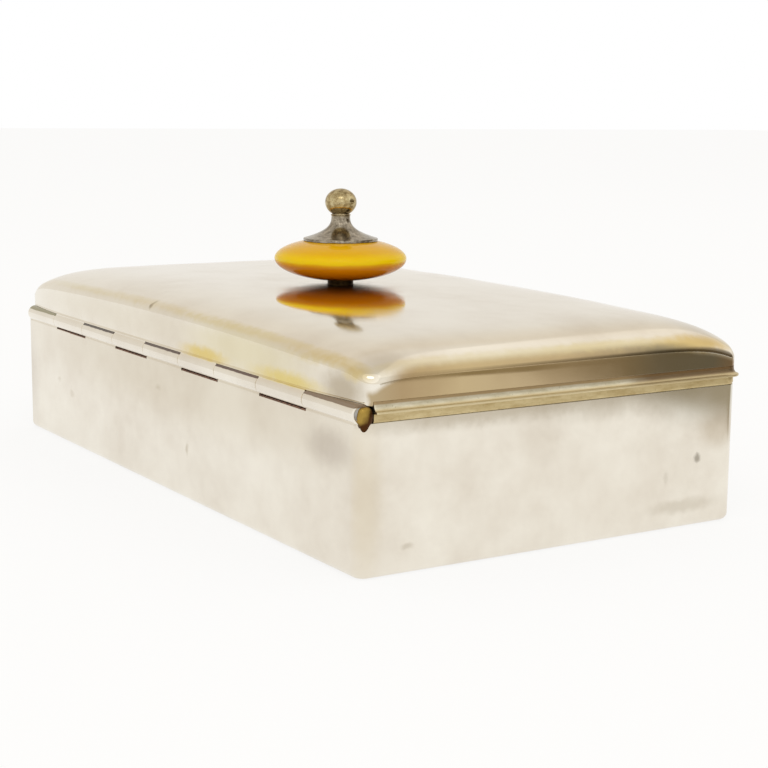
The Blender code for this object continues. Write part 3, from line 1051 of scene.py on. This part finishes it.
bodyPlate = makeSilverPlate("polished_plate_body", bodyStainsAndPaintedShade)
lidPlate = makeSilverPlate("polished_plate_lid", lidStainsAndPaintedLight, creased=True)
bodyHingePlate = makeHingePlate("polished_plate_body_hinge", *creviceLook["box"])
lidHingePlate = makeHingePlate("polished_plate_lid_hinge", *creviceLook["lid"])
basePlate = makeSilverPlate("scuffed_plate_base", [], roughness=0.12)
rimBrass = makeWornBrass("worn_plate_rim", *bandLook["rim"])
mouldingBrass = makeWornBrass("worn_plate_moulding", *bandLook["moulding"])
shadeMoulding(mouldingBrass)
solder = makeSolder()
tarnishedSilverPaintedReflection = makeTarnishedSilverPaintedReflection()
amberResin = makeAmberResin()
darkBrass = makeMottled("dark_turned_brass", darkBrassLook)
steel = makeMottled("drawn_steel", steelLook)
driedPolish = makeMottled("dried_polish", driedPolishLook)

print("body")
bodyWalls = {
    "halfLength": 82.5,
    "halfWidth": 45,
    "sheet": 0.9,
    "cornerRadius": 2.75,
    "wallTop": 28.3,
    "hingeWallTop": 27.75,
    "hingeRecess": (-82.0, 79.4),
    "bottomRadius": 1.5,
    "lip": 2.4,
    "midHeight": 15,
    "hingeSide": 41.8,
    "ease": 0.12,
    "baseEase": 0.2,
}
hinge = {
    "y": 44.1,
    "z": 29.9,
    "barrelRadius": 1.9,
    "boreRadius": 1.2,
    # the pin's end: radius, and how far past the last knuckle's face
    "pinEnd": [(0.9, -1.2), (1.3, -0.7), (1.3, -0.02), (0.91, 0.1), (0, 0.14)],
    "ends": (-81.7, 79.1),
    # sawn by hand, so not quite evenly spaced
    "joints": (-63.8, -45.7, -27.6, -10.6, 7.4, 24.6, 42.9, 61.2),
    "gap": 0.2,
    "chamfer": 0.13,
}


def fullRoute(halfX, front, back, radius):
    # anticlockwise from the back of the right end, all the way round
    x = halfX - radius
    return [
        ("turn", (x, back - radius)),
        ("run", (-2 * x, 0)),
        ("turn", (-x, back - radius)),
        ("run", (0, front - back + 2 * radius)),
        ("turn", (-x, front + radius)),
        ("run", (2 * x, 0)),
        ("turn", (x, front + radius)),
        ("run", (0, back - front - 2 * radius)),
    ]


def openRoute(halfX, front, back, radius):
    # both ends and the front, from the left end's back
    x = halfX - radius
    return [
        ("run", (0, front + radius - back)),
        ("turn", (-x, front + radius)),
        ("run", (2 * x, 0)),
        ("turn", (x, front + radius)),
        ("run", (0, back - front - radius)),
    ]


def buildBodyWalls():
    b = bodyWalls
    inner = b["bottomRadius"] - b["sheet"]
    middle = (-b["bottomRadius"], b["bottomRadius"])
    section = [(0, b["wallTop"]), (0, b["midHeight"])]
    section += arcPoints(middle, (b["bottomRadius"], b["bottomRadius"]), 0, -90, 8)
    section += [(-b["lip"], 0), (-b["lip"], b["sheet"])]
    section += arcPoints(middle, (inner, inner), -90, 0, 5)
    section += [(-b["sheet"], b["wallTop"])]
    back = b["halfWidth"]
    start = (b["halfLength"], back - b["cornerRadius"])
    route = fullRoute(b["halfLength"], -back, back, b["cornerRadius"])
    bm = sweepSection(section, start, 1, route)
    # the back wall stands lower, under the hinge
    left, right = b["hingeRecess"]
    for vert in bm.verts:
        x, y, z = vert.co / mm
        if z > b["wallTop"] - 0.01 and y > b["hingeSide"] and left < x < right:
            vert.co.z = b["hingeWallTop"] * mm
    easeEdges(bm, b["ease"], 50)
    walls = addPiece(bm, "body_walls", "box", bodyPlate, ["body_shell"])
    flattenShading(walls)


def buildBase():
    bm = nodeBlock("base_plate", bodyWalls["baseEase"])
    addPiece(bm, "bottom_sheet", "box", basePlate, ["base_plate"])


rimStrip = {
    "base": 28.6,
    "top": 29.9,
    "width": 1.9,
    "backEnd": 41.9,
    "ease": 0.14,
    "solderBase": 28.32,
    "solderInset": 0.12,
}


def buildRim():
    r = rimStrip
    # the seam of solder under the strip lies a little back from both faces
    section = [
        (0, r["base"]),
        (0, r["top"]),
        (-r["width"], r["top"]),
        (-r["width"], r["base"]),
        (-bodyWalls["sheet"], r["base"]),
        (-bodyWalls["sheet"], r["solderBase"]),
        (-r["solderInset"], r["solderBase"]),
        (-r["solderInset"], r["base"]),
    ]
    b = bodyWalls
    route = openRoute(b["halfLength"], -b["halfWidth"], r["backEnd"], b["cornerRadius"])
    bm = sweepSection(section, (-b["halfLength"], r["backEnd"]), -1, route)
    easeEdges(bm, r["ease"])
    strip = addPiece(bm, "rim_strip", "box", rimBrass, ["body_rim"])
    flattenShading(strip)


buildBodyWalls()
buildBase()
buildRim()

print("hinge")
# solder between each knuckle and its wall, as (Y, Z): flush with the wall outside
solderSection = {
    "box": [(45.02, 27.45), (45.02, 28.18), (44.97, 28.26), (44.6, 28.14), (44.2, 28.08), (44.2, 27.5)],
    "lid": [(44.3, 31.9), (45.0, 31.72), (45.18, 31.62), (45.21, 31.43), (44.9, 31.55), (44.3, 31.7)],
}
# dried polish on the wall under each knuckle of the lid, clear of the turning tube
polishSection = [(44.25, 27.6), (44.96, 27.6), (44.96, 28.02), (44.6, 27.98), (44.25, 27.95)]


def barAlongX(section, *places):
    # a bar of one section, with a ring of points at each place along X
    bm = bmesh.new()
    last = [bm.faces.new([bm.verts.new((places[0], y, z)) for y, z in section])]
    for left, right in zip(places, places[1:]):
        grown = bmesh.ops.extrude_face_region(bm, geom=last)["geom"]
        last = [item for item in grown if isinstance(item, bmesh.types.BMFace)]
        moved = [item for item in grown if isinstance(item, bmesh.types.BMVert)]
        bmesh.ops.translate(bm, verts=moved, vec=(right - left, 0, 0))
    bmesh.ops.recalc_face_normals(bm, faces=bm.faces[:])
    return bm


def addStrip(section, span, name, body, finish):
    # a short bar between two places along the hinge
    bm = barAlongX(section, *span)
    bmesh.ops.scale(bm, verts=bm.verts[:], vec=(mm, mm, mm))
    addPiece(bm, name, body, finish)


def buildHinge():
    h = hinge
    joints = [h["ends"][0], *h["joints"], h["ends"][1]]
    for index, (left, right) in enumerate(zip(joints, joints[1:])):
        body = "lid" if index % 2 else "box"
        number = index // 2 + 1
        half = (right - left - h["gap"]) / 2
        profile = [
            (h["boreRadius"], -half),
            (h["barrelRadius"], -half),
            (h["barrelRadius"], half),
            (h["boreRadius"], half),
        ]
        middle = ((left + right) / 2, h["y"], h["z"])
        bm = spinProfile(profile, 64, middle, alongX=True)
        easeEdges(bm, h["chamfer"])
        node = f"{'lid' if body == 'lid' else 'body'}_knuckle_{number}"
        finish = lidHingePlate if body == "lid" else bodyHingePlate
        knuckle = addPiece(bm, f"{body}_tube_{number}", body, finish, [node])
        flattenShading(knuckle)
        span = (middle[0] - half, middle[0] + half)
        sheetFinish = lidPlate if body == "lid" else bodyPlate
        addStrip(solderSection[body], span, f"{body}_fillet_{number}", body, sheetFinish)
        if body == "lid":
            addStrip(polishSection, span, f"polish_crust_{number}", "box", driedPolish)
    # wire pin, its ends spread and dressed flush in the end knuckles
    centre = sum(h["ends"]) / 2
    half = (h["ends"][1] - h["ends"][0]) / 2
    tail = [(radius, half + past) for radius, past in h["pinEnd"]]
    profile = [(radius, -along) for radius, along in tail[::-1]] + tail
    bm = spinProfile(profile, 40, (centre, h["y"], h["z"]), alongX=True, closed=False)
    addPiece(bm, "hinge_wire", "box", steel, ["hinge_pin"])


cornerSolder = {
    # for each end of the hinge: its place, and how far the drop spreads along X and Y
    "drops": {"left": ((-81.75, 43.25), (0.62, 0.92)), "right": ((80.6, 42.9), (0.5, 0.6))},
    "profile": [
        (0, 31.22),
        (1.1, 31.14),
        (1.55, 30.8),
        (1.78, 30.2),
        (1.82, 29.4),
        (1.65, 28.6),
        (1.3, 27.9),
        (1.0, 27.3),
        (0.75, 26.8),
        (0.45, 26.45),
        (0, 26.35),
    ],
    # what stands above the hinge's axis keeps inside the lid's swing
    "clear": 1.92,
}


def buildCornerSolder():
    # a drop of solder closes the corner between the hinge, the wall and the end of the rim strip
    c = cornerSolder
    for side, ((x, y), (spreadX, spreadY)) in c["drops"].items():
        bm = spinProfile(c["profile"], 28, (x, y, 0), closed=False)
        for vert in bm.verts:
            offX = (vert.co.x / mm - x) * spreadX
            offY = (vert.co.y / mm - y) * spreadY
            # uneven, and pulled out along the corner as it set
            lump = 1 + 0.05 * math.sin(2.3 * vert.co.z / mm) * math.sin(1.9 * offX + 2.3 * offY + 1)
            rise = vert.co.z / mm - hinge["z"]
            reach = math.sqrt(max(0, c["clear"] ** 2 - rise ** 2))
            newY = y + offY * lump
            if rise > 0:
                newY = min(max(newY, hinge["y"] - reach), hinge["y"] + reach)
            vert.co.x = (x + offX * lump) * mm
            vert.co.y = newY * mm
        bmesh.ops.recalc_face_normals(bm, faces=bm.faces[:])
        addPiece(bm, f"corner_solder_{side}", "box", solder, angle=60)


buildHinge()
buildCornerSolder()

print("lid")
lidSheet = {
    "halfLength": 82.5,
    "front": 45,
    "back": 43.35,
    "crown": 43.21,
    "wallBase": 32.1,
    "cornerWallBase": 31.3,
    "barrelClear": 1.95,
    "backBow": 1.5,
    "bowPower": 8,
    "sheet": 0.8,
    "cornerRadius": 2.6,
    "edgeRadius": 1.2,
    "longArch": 1.9,
    "endRoll": 4.2,
    "endPower": 18,
    "sideRoll": 3.8,
    "sidePower": 6.5,
    "nearFullness": 2,
    "fullness": 1.1,
    "bore": 1.8,
    "boreRing": 3,
    "boreBlend": 4.5,
    # rings just inside the rounded edge, and how finely the edge is rounded
    "edgeRings": (2.1, 1.6),
    "edgeSteps": 8,
    # where the wall has its rings, as shares of its height
    "wallShares": (0.3, 0.5, 0.94, 1),
}


def lidStations(half, count):
    # distances from the knob's axis: round the bore, wide apart, then close again in the rounded edge
    s = lidSheet
    inner = half - s["cornerRadius"]
    span = inner - s["boreBlend"]
    places = [0, s["bore"] / 2, s["bore"], s["boreRing"]]
    places += [inner - span * (1 - math.cos(math.pi / 2 * (1 - k / count))) for k in range(count + 1)]
    places += [half - inset for inset in s["edgeRings"]]
    edge = arcPoints((half - s["edgeRadius"], 0), (s["edgeRadius"], 1), 90, 0, s["edgeSteps"])
    return places + [place for place, _ in edge]


def lidPoint(x, y):
    # the flat station moved onto the round corner and the bore, with its height and edge distance
    s = lidSheet
    half = s["back"] if y > 0 else s["front"]
    pastX = abs(x) - (s["halfLength"] - s["cornerRadius"])
    pastY = abs(y) - (half - s["cornerRadius"])
    fromEdge = s["cornerRadius"] - max(pastX, pastY)
    if pastX > 0 and pastY > 0:
        shrink = max(pastX, pastY) / math.hypot(pastX, pastY)
        x = math.copysign(abs(x) - pastX + pastX * shrink, x)
        y = math.copysign(abs(y) - pastY + pastY * shrink, y)
    ring = max(abs(x), abs(y))
    if 0 < ring < s["boreBlend"]:
        blend = max(0, (ring - s["bore"]) / (s["boreBlend"] - s["bore"]))
        shrink = ring / math.hypot(x, y)
        x *= shrink + (1 - shrink) * blend
        y *= shrink + (1 - shrink) * blend
    along = abs(x) / s["halfLength"]
    middleY = (s["back"] - s["front"]) / 2
    across = abs(y - middleY) / ((s["back"] + s["front"]) / 2)
    # the hammered dome is fullest at the near corner of the hinge side
    near = "nearFullness" if x < 0 and y > middleY else "fullness"
    rolls = (s["endRoll"] * along ** s["endPower"], s["sideRoll"] * across ** s["sidePower"])
    drop = s["longArch"] * along ** 2 + sum(roll ** s[near] for roll in rolls) ** (1 / s[near])
    # the back wall stands out towards its middle, where the hinge pulled it flush with the body
    y += s["backBow"] * max(0, (y - middleY) / (s["back"] - middleY)) * (1 - along ** s["bowPower"])
    into = min(max(0, s["edgeRadius"] - fromEdge), s["edgeRadius"])
    z = s["crown"] - drop - s["edgeRadius"] + math.sqrt(s["edgeRadius"] ** 2 - into ** 2)
    return Vector((x, y, z)), fromEdge


def lidWallBase(place):
    # past the moulding's ends the wall comes down as far as the turning barrel lets it
    s = lidSheet
    if place.y < moulding["backEnd"]:
        return s["wallBase"]
    gap = max(0, hinge["y"] - place.y)
    return max(s["cornerWallBase"], hinge["z"] + math.sqrt(max(0, s["barrelClear"] ** 2 - gap ** 2)))


def buildLidSheet():
    s = lidSheet
    along = lidStations(s["halfLength"], 30)
    front = lidStations(s["front"], 20)
    back = lidStations(s["back"], 20)
    xs = [-place for place in along[:0:-1]] + along
    ys = [-place for place in front[:0:-1]] + back
    columns = len(xs) - 1
    rows = len(ys) - 1
    bm = bmesh.new()
    bmesh.ops.create_grid(bm, x_segments=columns, y_segments=rows, size=1)
    edgeRun = bm.verts.layers.float.new("edgeRun")
    hole = []
    for vert in bm.verts:
        column = round((vert.co.x + 1) / 2 * columns)
        row = round((vert.co.y + 1) / 2 * rows)
        if max(abs(xs[column]), abs(ys[row])) < s["bore"] - 0.01:
            hole.append(vert)
        vert.co, vert[edgeRun] = lidPoint(xs[column], ys[row])
    bmesh.ops.delete(bm, geom=hole, context="VERTS")
    rim = [e for e in bm.edges if e.is_boundary and e.verts[0].co.xy.length > 10]
    for share in s["wallShares"]:
        grown = bmesh.ops.extrude_edge_only(bm, edges=rim)["geom"]
        fresh = {item for item in grown if isinstance(item, bmesh.types.BMVert)}
        for vert in fresh:
            drop = (vert.co.z - lidWallBase(vert.co)) * share
            vert[edgeRun] -= drop
            vert.co.z -= drop
        rim = [e for e in grown if isinstance(e, bmesh.types.BMEdge) and fresh.issuperset(e.verts)]
    bmesh.ops.scale(bm, verts=bm.verts[:], vec=(mm, mm, mm))
    bmesh.ops.remove_doubles(bm, verts=bm.verts[:], dist=weldDistance)
    bmesh.ops.recalc_face_normals(bm, faces=bm.faces[:])
    if sum(face.normal.z * face.calc_area() for face in bm.faces) < 0:
        bmesh.ops.reverse_faces(bm, faces=bm.faces[:])
    sheet = addPiece(bm, "lid_sheet", "lid", lidPlate, ["lid_shell"], angle=50)
    thickness = sheet.modifiers.new("thickness", "SOLIDIFY")
    thickness.thickness = s["sheet"] * mm
    thickness.offset = -1
    thickness.use_even_offset = True


wallFoot = {
    # out from the wall's face, and how far off the barrel
    "section": [
        (-0.12, 0.24),
        (0.005, 0.22),
        (0.18, 0.13),
        (0.32, 0.05),
        (0.33, 0.01),
        (0.1, 0.01),
        (-0.12, 0.01),
    ],
    "furthest": 45.2,
    "places": [-81.6, -81.3, -80.8, -80, -78, -75, -71, -66, -60, -52, -42, -25, 0],
    "end": 79,
}


def buildWallFoot():
    # the foot of the lid's back wall is dressed down over the barrel all along the hinge
    s = lidSheet
    w = wallFoot
    right = [-x for x in w["places"][-2::-1] if -x < w["end"]] + [w["end"]]
    bm = barAlongX(w["section"], *w["places"], *right)
    for vert in bm.verts:
        x, out, off = vert.co
        past = max(0, abs(x) - (s["halfLength"] - s["cornerRadius"]))
        face = s["back"] - s["cornerRadius"] + math.sqrt(s["cornerRadius"] ** 2 - past ** 2)
        face += s["backBow"] * (1 - (abs(x) / s["halfLength"]) ** s["bowPower"])
        y = min(face + out, w["furthest"] + out * 0.02)
        height = math.sqrt((s["barrelClear"] + off) ** 2 - (y - hinge["y"]) ** 2)
        vert.co = (x * mm, y * mm, (hinge["z"] + height) * mm)
    foot = addPiece(bm, "wall_foot", "lid", lidPlate)
    flattenShading(foot)


moulding = {
    "base": 29.97,
    "hollowTop": 31.7,
    "top": 32.1,
    "reach": 1.0,
    "tip": 0.42,
    "inside": -0.8,
    "backEnd": 41.9,
    "ease": 0.09,
}


def buildMoulding():
    m = moulding
    hollow = (-m["reach"], -(m["hollowTop"] - m["base"] - m["tip"]))
    section = [(m["inside"], m["top"]), (0, m["top"])]
    section += arcPoints((m["reach"], m["hollowTop"]), hollow, 0, 90, 9)
    section += [(m["reach"], m["base"]), (m["inside"], m["base"])]
    s = lidSheet
    route = openRoute(s["halfLength"], -s["front"], m["backEnd"], s["cornerRadius"])
    bm = sweepSection(section, (-s["halfLength"], m["backEnd"]), -1, route)
    easeEdges(bm, m["ease"])
    strip = addPiece(bm, "lid_cove", "lid", mouldingBrass, ["lid_moulding"])
    flattenShading(strip)


buildLidSheet()
buildWallFoot()
buildMoulding()

print("knob")
disc = {
    "radius": 15.08,
    "upper": 4.72,
    "lower": 5.06,
    "middle": 48.72,
    "recess": 3.2,
    "recessTop": 45.3,
    "bore": 1.8,
}
finial = {
    "skirtRadius": 8.45,
    "skirtEdge": 0.62,
    "flareBase": 53.3,
    "flareHeight": 4.95,
    "flarePower": 2.8,
    "neckRadius": 2.15,
    "ballRadius": 3.6,
    "ballHalf": 3.1,
    "ballMiddle": 61.4,
    # fine turned groove and bead under the ball: out from the neck, and down from the ball
    "turnedLines": [(-0.12, 0.1), (-0.12, 0.24), (0.07, 0.28), (0.14, 0.4), (0.07, 0.54), (0, 0.64)],
    "flareSteps": 24,
    "seatGap": 0.1,
    # the skirt's edge is a little uneven from wear: waves round it, phase and depth
    "ripples": [(3, 1, 0.05), (7, 0, 0.035), (13, 0, 0.02)],
    "rippleFrom": 6.5,
    "rippleTop": 0.6,
}
fixing = {
    "collarRadius": 2.95,
    "collarBase": 43.15,
    "collarTop": 45.26,
    "stud": 1.5,
    "studBase": 38.0,
    "studTop": 56.4,
    "studChamfer": 0.2,
    "threadPitch": 0.5,
    "threadDepth": 0.22,
    "threadTop": 44,
    # radius, or width across flats, then base and top
    "washer": (4.0, 41.3, 42.15),
    "nut": (5.5, 38.6, 41.05),
    "nutChamfer": 0.22,
    "ease": 0.12,
}


def discHeight(radius):
    return disc["middle"] + disc["upper"] * math.sqrt(max(0, 1 - (radius / disc["radius"]) ** 2))


def buildDisc():
    d = disc
    start = math.degrees(math.acos(d["bore"] / d["radius"]))
    end = -math.degrees(math.acos(d["recess"] / d["radius"]))
    profile = arcPoints((0, d["middle"]), (d["radius"], d["upper"]), start, 0, 32)
    profile += arcPoints((0, d["middle"]), (d["radius"], d["lower"]), 0, end, 32)[1:]
    profile += [(d["recess"], d["recessTop"]), (d["bore"], d["recessTop"])]
    bm = spinProfile(profile, 112)
    addPiece(bm, "amber_disc", "lid", amberResin, ["knob_disc"])


def buildFinial():
    f = finial
    ballEnd = -math.degrees(math.acos((f["neckRadius"] + 0.05) / f["ballRadius"]))
    profile = arcPoints((0, f["ballMiddle"]), (f["ballRadius"], f["ballHalf"]), 90, ballEnd, 26)
    top = profile[-1][1]
    neck = f["neckRadius"]
    skirt = f["skirtRadius"]
    profile += [(neck + out, top - down) for out, down in f["turnedLines"]]
    for step in range(f["flareSteps"] + 1):
        fall = step / f["flareSteps"]
        radius = neck + (skirt - neck) * fall ** f["flarePower"]
        profile.append((radius, f["flareBase"] + f["flareHeight"] * (1 - fall)))
    profile += [(skirt + 0.06, f["flareBase"] - 0.14), (skirt, discHeight(skirt) + f["seatGap"])]
    for step in range(1, 7):
        radius = skirt + (disc["bore"] - skirt) * step / 6
        profile.append((radius, discHeight(radius) + f["seatGap"]))
    blindEnd = fixing["studTop"] + 0.3
    profile += [(disc["bore"], blindEnd), (0, blindEnd)]
    bm = spinProfile(profile, 112, closed=False)
    for vert in bm.verts:
        reach = vert.co.xy.length / mm
        if reach > f["rippleFrom"] and vert.co.z < (f["flareBase"] + f["rippleTop"]) * mm:
            angle = math.atan2(vert.co.y, vert.co.x)
            ripple = sum(depth * math.sin(waves * angle + phase) for waves, phase, depth in f["ripples"])
            vert.co.xy *= 1 + ripple * (reach - f["rippleFrom"]) / 2 / reach
            if vert.co.z < f["flareBase"] * mm:
                vert.co.z += 0.06 * mm * math.sin(5 * angle + 2) * math.sin(11 * angle)
    addPiece(bm, "finial_turning", "lid", tarnishedSilverPaintedReflection, ["knob_finial"], angle=42)


def ring(inner, outer, low, high):
    return [(outer, low), (outer, high), (inner, high), (inner, low)]


def buildFixing():
    f = fixing
    bm = spinProfile(ring(disc["bore"], f["collarRadius"], f["collarBase"], f["collarTop"]), 64)
    easeEdges(bm, f["ease"])
    addPiece(bm, "collar_ring", "lid", darkBrass, ["knob_collar"])
    outer, low, high = f["washer"]
    bm = spinProfile(ring(disc["bore"], outer, low, high), 64)
    easeEdges(bm, f["ease"])
    addPiece(bm, "fixing_washer", "lid", steel, ["knob_washer"])
    # the nut starts as a thick ring with chamfers, and its sides are drawn in to six flats
    flats, low, high = f["nut"]
    corner = flats / math.sqrt(3)
    profile = [
        (flats / 2, low),
        (corner, low + f["nutChamfer"]),
        (corner, high - f["nutChamfer"]),
        (flats / 2, high),
        (f["stud"] + 0.05, high),
        (f["stud"] + 0.05, low),
    ]
    bm = spinProfile(profile, 48)
    for vert in bm.verts:
        angle = (math.degrees(math.atan2(vert.co.y, vert.co.x)) + 390) % 60 - 30
        limit = flats / 2 / math.cos(math.radians(angle)) * mm
        if vert.co.xy.length > limit:
            vert.co.xy *= limit / vert.co.xy.length
    addPiece(bm, "fixing_nut", "lid", steel, ["knob_nut"], angle=20)
    # cut thread on the stud's lower end
    stud = f["stud"]
    pitch = f["threadPitch"]
    chamfer = f["studChamfer"]
    profile = [(0, f["studBase"]), (stud - 0.3, f["studBase"])]
    z = f["studBase"] + pitch / 2
    while z < f["threadTop"]:
        profile += [(stud, z), (stud - f["threadDepth"], z + pitch / 2)]
        z += pitch
    profile += [(stud, z), (stud, f["studTop"] - chamfer), (stud - chamfer, f["studTop"]), (0, f["studTop"])]
    bm = spinProfile(profile, 40, closed=False)
    addPiece(bm, "threaded_stud", "lid", steel, ["knob_stud"], angle=60)


buildDisc()
buildFinial()
buildFixing()

print("cedar lining")
# each board's grain, drawn out along its length, and how far its edges are eased
boards = {
    "floor": ((0.05, 1, 1), 0.3),
    "front": ((0.05, 1, 1), 0.3),
    "back": ((0.05, 1, 1), 0.3),
    "left": ((1, 0.05, 1), 0.3),
    "right": ((1, 0.05, 1), 0.3),
    "divider": ((1, 0.05, 1), 0.7),
}
for board, (grain, ease) in boards.items():
    node = "lining_" + board
    cedar = makeCedar("planed_cedar_" + board, grain)
    addPiece(nodeBlock(node, ease), "cedar_" + board, "box", cedar, [node])

print("floor, world and lamps")
studio = {
    "floorHalf": 5,
    "floor": "#FFFFFF",
    "shadowKept": 0.22,
    # the darker table past the paper lies between these: axis, where it starts, where it is full
    "table": [("Y", -112, -142), ("X", -95, -150), ("X", -700, -420)],
    "beyondPaper": "#B2A893",
    # place, size and power
    "lamps": {
        "key_softbox": ((-0.72, 0.45, 0.8), (2.1, 1.6), 1.5),
        "fill_softbox": ((-0.25, -0.85, 0.8), (1.9, 1.3), 0.9),
        # small and bright: it shows as the glint on the knob and the near corner
        "glint_window": ((-0.58, 0.34, 0.8), (0.62, 0.3), 0.5),
    },
}
# What the metal sees round it, from the level up to the ceiling
room = {
    "backdrop": (0.846, -0.533, 0),
    # behind the box: white paper, a warm pale wall over it, then the ceiling
    "behind": [
        (0.0, "#F2EFEA"),
        (0.3, "#EDE9E2"),
        (0.42, "#EBE5DB"),
        (0.6, "#EAE2D5"),
        (0.72, "#F1ECE4"),
        (1.0, "#E4E0D8"),
    ],
    # before the box: broad window light
    "before": [
        (0.0, "#F0EBE2"),
        (0.2, "#F6F3EC"),
        (0.8, "#F0EDE6"),
        (1.0, "#E4E0D8"),
    ],
    "turn": (-0.15, 0.45),
    # a dim corner, low down beyond the left end
    "corner": (-0.5, -0.866, 0.05),
    "cornerEdge": (0.88, 0.965),
    "cornerColour": "#6A5E4A",
}


def buildFloor():
    bm = bmesh.new()
    bmesh.ops.create_grid(bm, x_segments=2, y_segments=2, size=studio["floorHalf"])
    bmesh.ops.translate(bm, verts=bm.verts[:], vec=(0, 0, -0.00004))
    mesh = bpy.data.meshes.new("studio_floor")
    bm.to_mesh(mesh)
    bm.free()
    floor = bpy.data.objects.new("studio_floor", mesh)
    scene.collection.objects.link(floor)
    material, tree, shader, place = newFinish("matt_white_paper")
    tree.nodes.remove(shader)
    ways = addNode(tree, "ShaderNodeLightPath", {}, {})
    spot = addNode(tree, "ShaderNodeSeparateXYZ", {}, {"Vector": place})
    # metal sees the paper's edge and the dark table past it; the camera sees white everywhere
    seen = ways.outputs["Is Glossy Ray"]
    for axis, start, full in studio["table"]:
        edge = addNode(tree, "ShaderNodeMapRange", {"interpolation_type": "SMOOTHSTEP"}, {
            "Value": spot.outputs[axis],
            "From Min": start,
            "From Max": full,
        })
        seen = addNode(tree, "ShaderNodeMath", {"operation": "MULTIPLY"}, {
            0: seen,
            1: edge.outputs["Result"],
        }).outputs[0]
    paper = addNode(tree, "ShaderNodeMix", {"data_type": "RGBA"}, {
        0: seen,
        6: studio["floor"],
        7: studio["beyondPaper"],
    })
    matt = addNode(tree, "ShaderNodeBsdfDiffuse", {}, {"Color": paper.outputs[2]})
    lit = addNode(tree, "ShaderNodeMix", {"data_type": "RGBA"}, {
        0: seen,
        6: "#FFFFFF",
        7: studio["beyondPaper"],
    })
    white = addNode(tree, "ShaderNodeEmission", {}, {"Color": lit.outputs[2], "Strength": 1})
    looked = ways.outputs["Is Camera Ray"]
    for ray in ("Is Glossy Ray", "Is Transmission Ray"):
        looked = addNode(tree, "ShaderNodeMath", {"operation": "ADD"}, {
            0: looked,
            1: ways.outputs[ray],
        }).outputs[0]
    shown = addNode(tree, "ShaderNodeMath", {"operation": "MULTIPLY"}, {
        0: looked,
        1: 1 - studio["shadowKept"],
    })
    mixed = addNode(tree, "ShaderNodeMixShader", {}, {
        "Fac": shown.outputs[0],
        1: matt.outputs[0],
        2: white.outputs[0],
    })
    tree.links.new(mixed.outputs[0], tree.nodes["Material Output"].inputs["Surface"])
    mesh.materials.append(material)


def buildWorld():
    world = bpy.data.worlds.new("studio_room")
    scene.world = world
    world.use_nodes = True
    tree = world.node_tree
    background = tree.nodes["Background"]
    sky = addNode(tree, "ShaderNodeTexCoord", {}, {})
    parts = addNode(tree, "ShaderNodeSeparateXYZ", {}, {"Vector": sky.outputs["Generated"]})
    towards = addNode(tree, "ShaderNodeVectorMath", {"operation": "DOT_PRODUCT"}, {
        0: sky.outputs["Generated"],
        1: room["backdrop"],
    })
    behind = addNode(tree, "ShaderNodeValToRGB", {}, {"Fac": parts.outputs["Z"]}, room["behind"])
    before = addNode(tree, "ShaderNodeValToRGB", {}, {"Fac": parts.outputs["Z"]}, room["before"])
    half = addNode(tree, "ShaderNodeMapRange", {"interpolation_type": "SMOOTHSTEP"}, {
        "Value": towards.outputs["Value"],
        "From Min": room["turn"][0],
        "From Max": room["turn"][1],
    })
    lit = addNode(tree, "ShaderNodeMix", {"data_type": "RGBA"}, {
        0: half.outputs["Result"],
        6: before.outputs["Color"],
        7: behind.outputs["Color"],
    })
    corner = addNode(tree, "ShaderNodeVectorMath", {"operation": "DOT_PRODUCT"}, {
        0: sky.outputs["Generated"],
        1: room["corner"],
    })
    dim = addNode(tree, "ShaderNodeMapRange", {"interpolation_type": "SMOOTHSTEP"}, {
        "Value": corner.outputs["Value"],
        "From Min": room["cornerEdge"][0],
        "From Max": room["cornerEdge"][1],
    })
    dimmed = addNode(tree, "ShaderNodeMix", {"data_type": "RGBA"}, {
        0: dim.outputs["Result"],
        6: lit.outputs[2],
        7: room["cornerColour"],
    })
    ways = addNode(tree, "ShaderNodeLightPath", {}, {})
    seen = addNode(tree, "ShaderNodeMix", {"data_type": "RGBA"}, {
        0: ways.outputs["Is Camera Ray"],
        6: dimmed.outputs[2],
        7: "#FFFFFF",
    })
    tree.links.new(seen.outputs[2], background.inputs["Color"])
    background.inputs["Strength"].default_value = 1


def addLamp(name, place, size, power):
    lamp = bpy.data.lights.new(name, "AREA")
    lamp.shape = "ELLIPSE"
    lamp.size = size[0]
    lamp.size_y = size[1]
    lamp.energy = power
    holder = bpy.data.objects.new(name, lamp)
    scene.collection.objects.link(holder)
    holder.location = place
    holder.rotation_euler = Vector(place).to_track_quat("Z", "Y").to_euler()


buildFloor()
buildWorld()
for lampName, (place, size, power) in studio["lamps"].items():
    addLamp(lampName, place, size, power)
scene.view_settings.view_transform = "Standard"
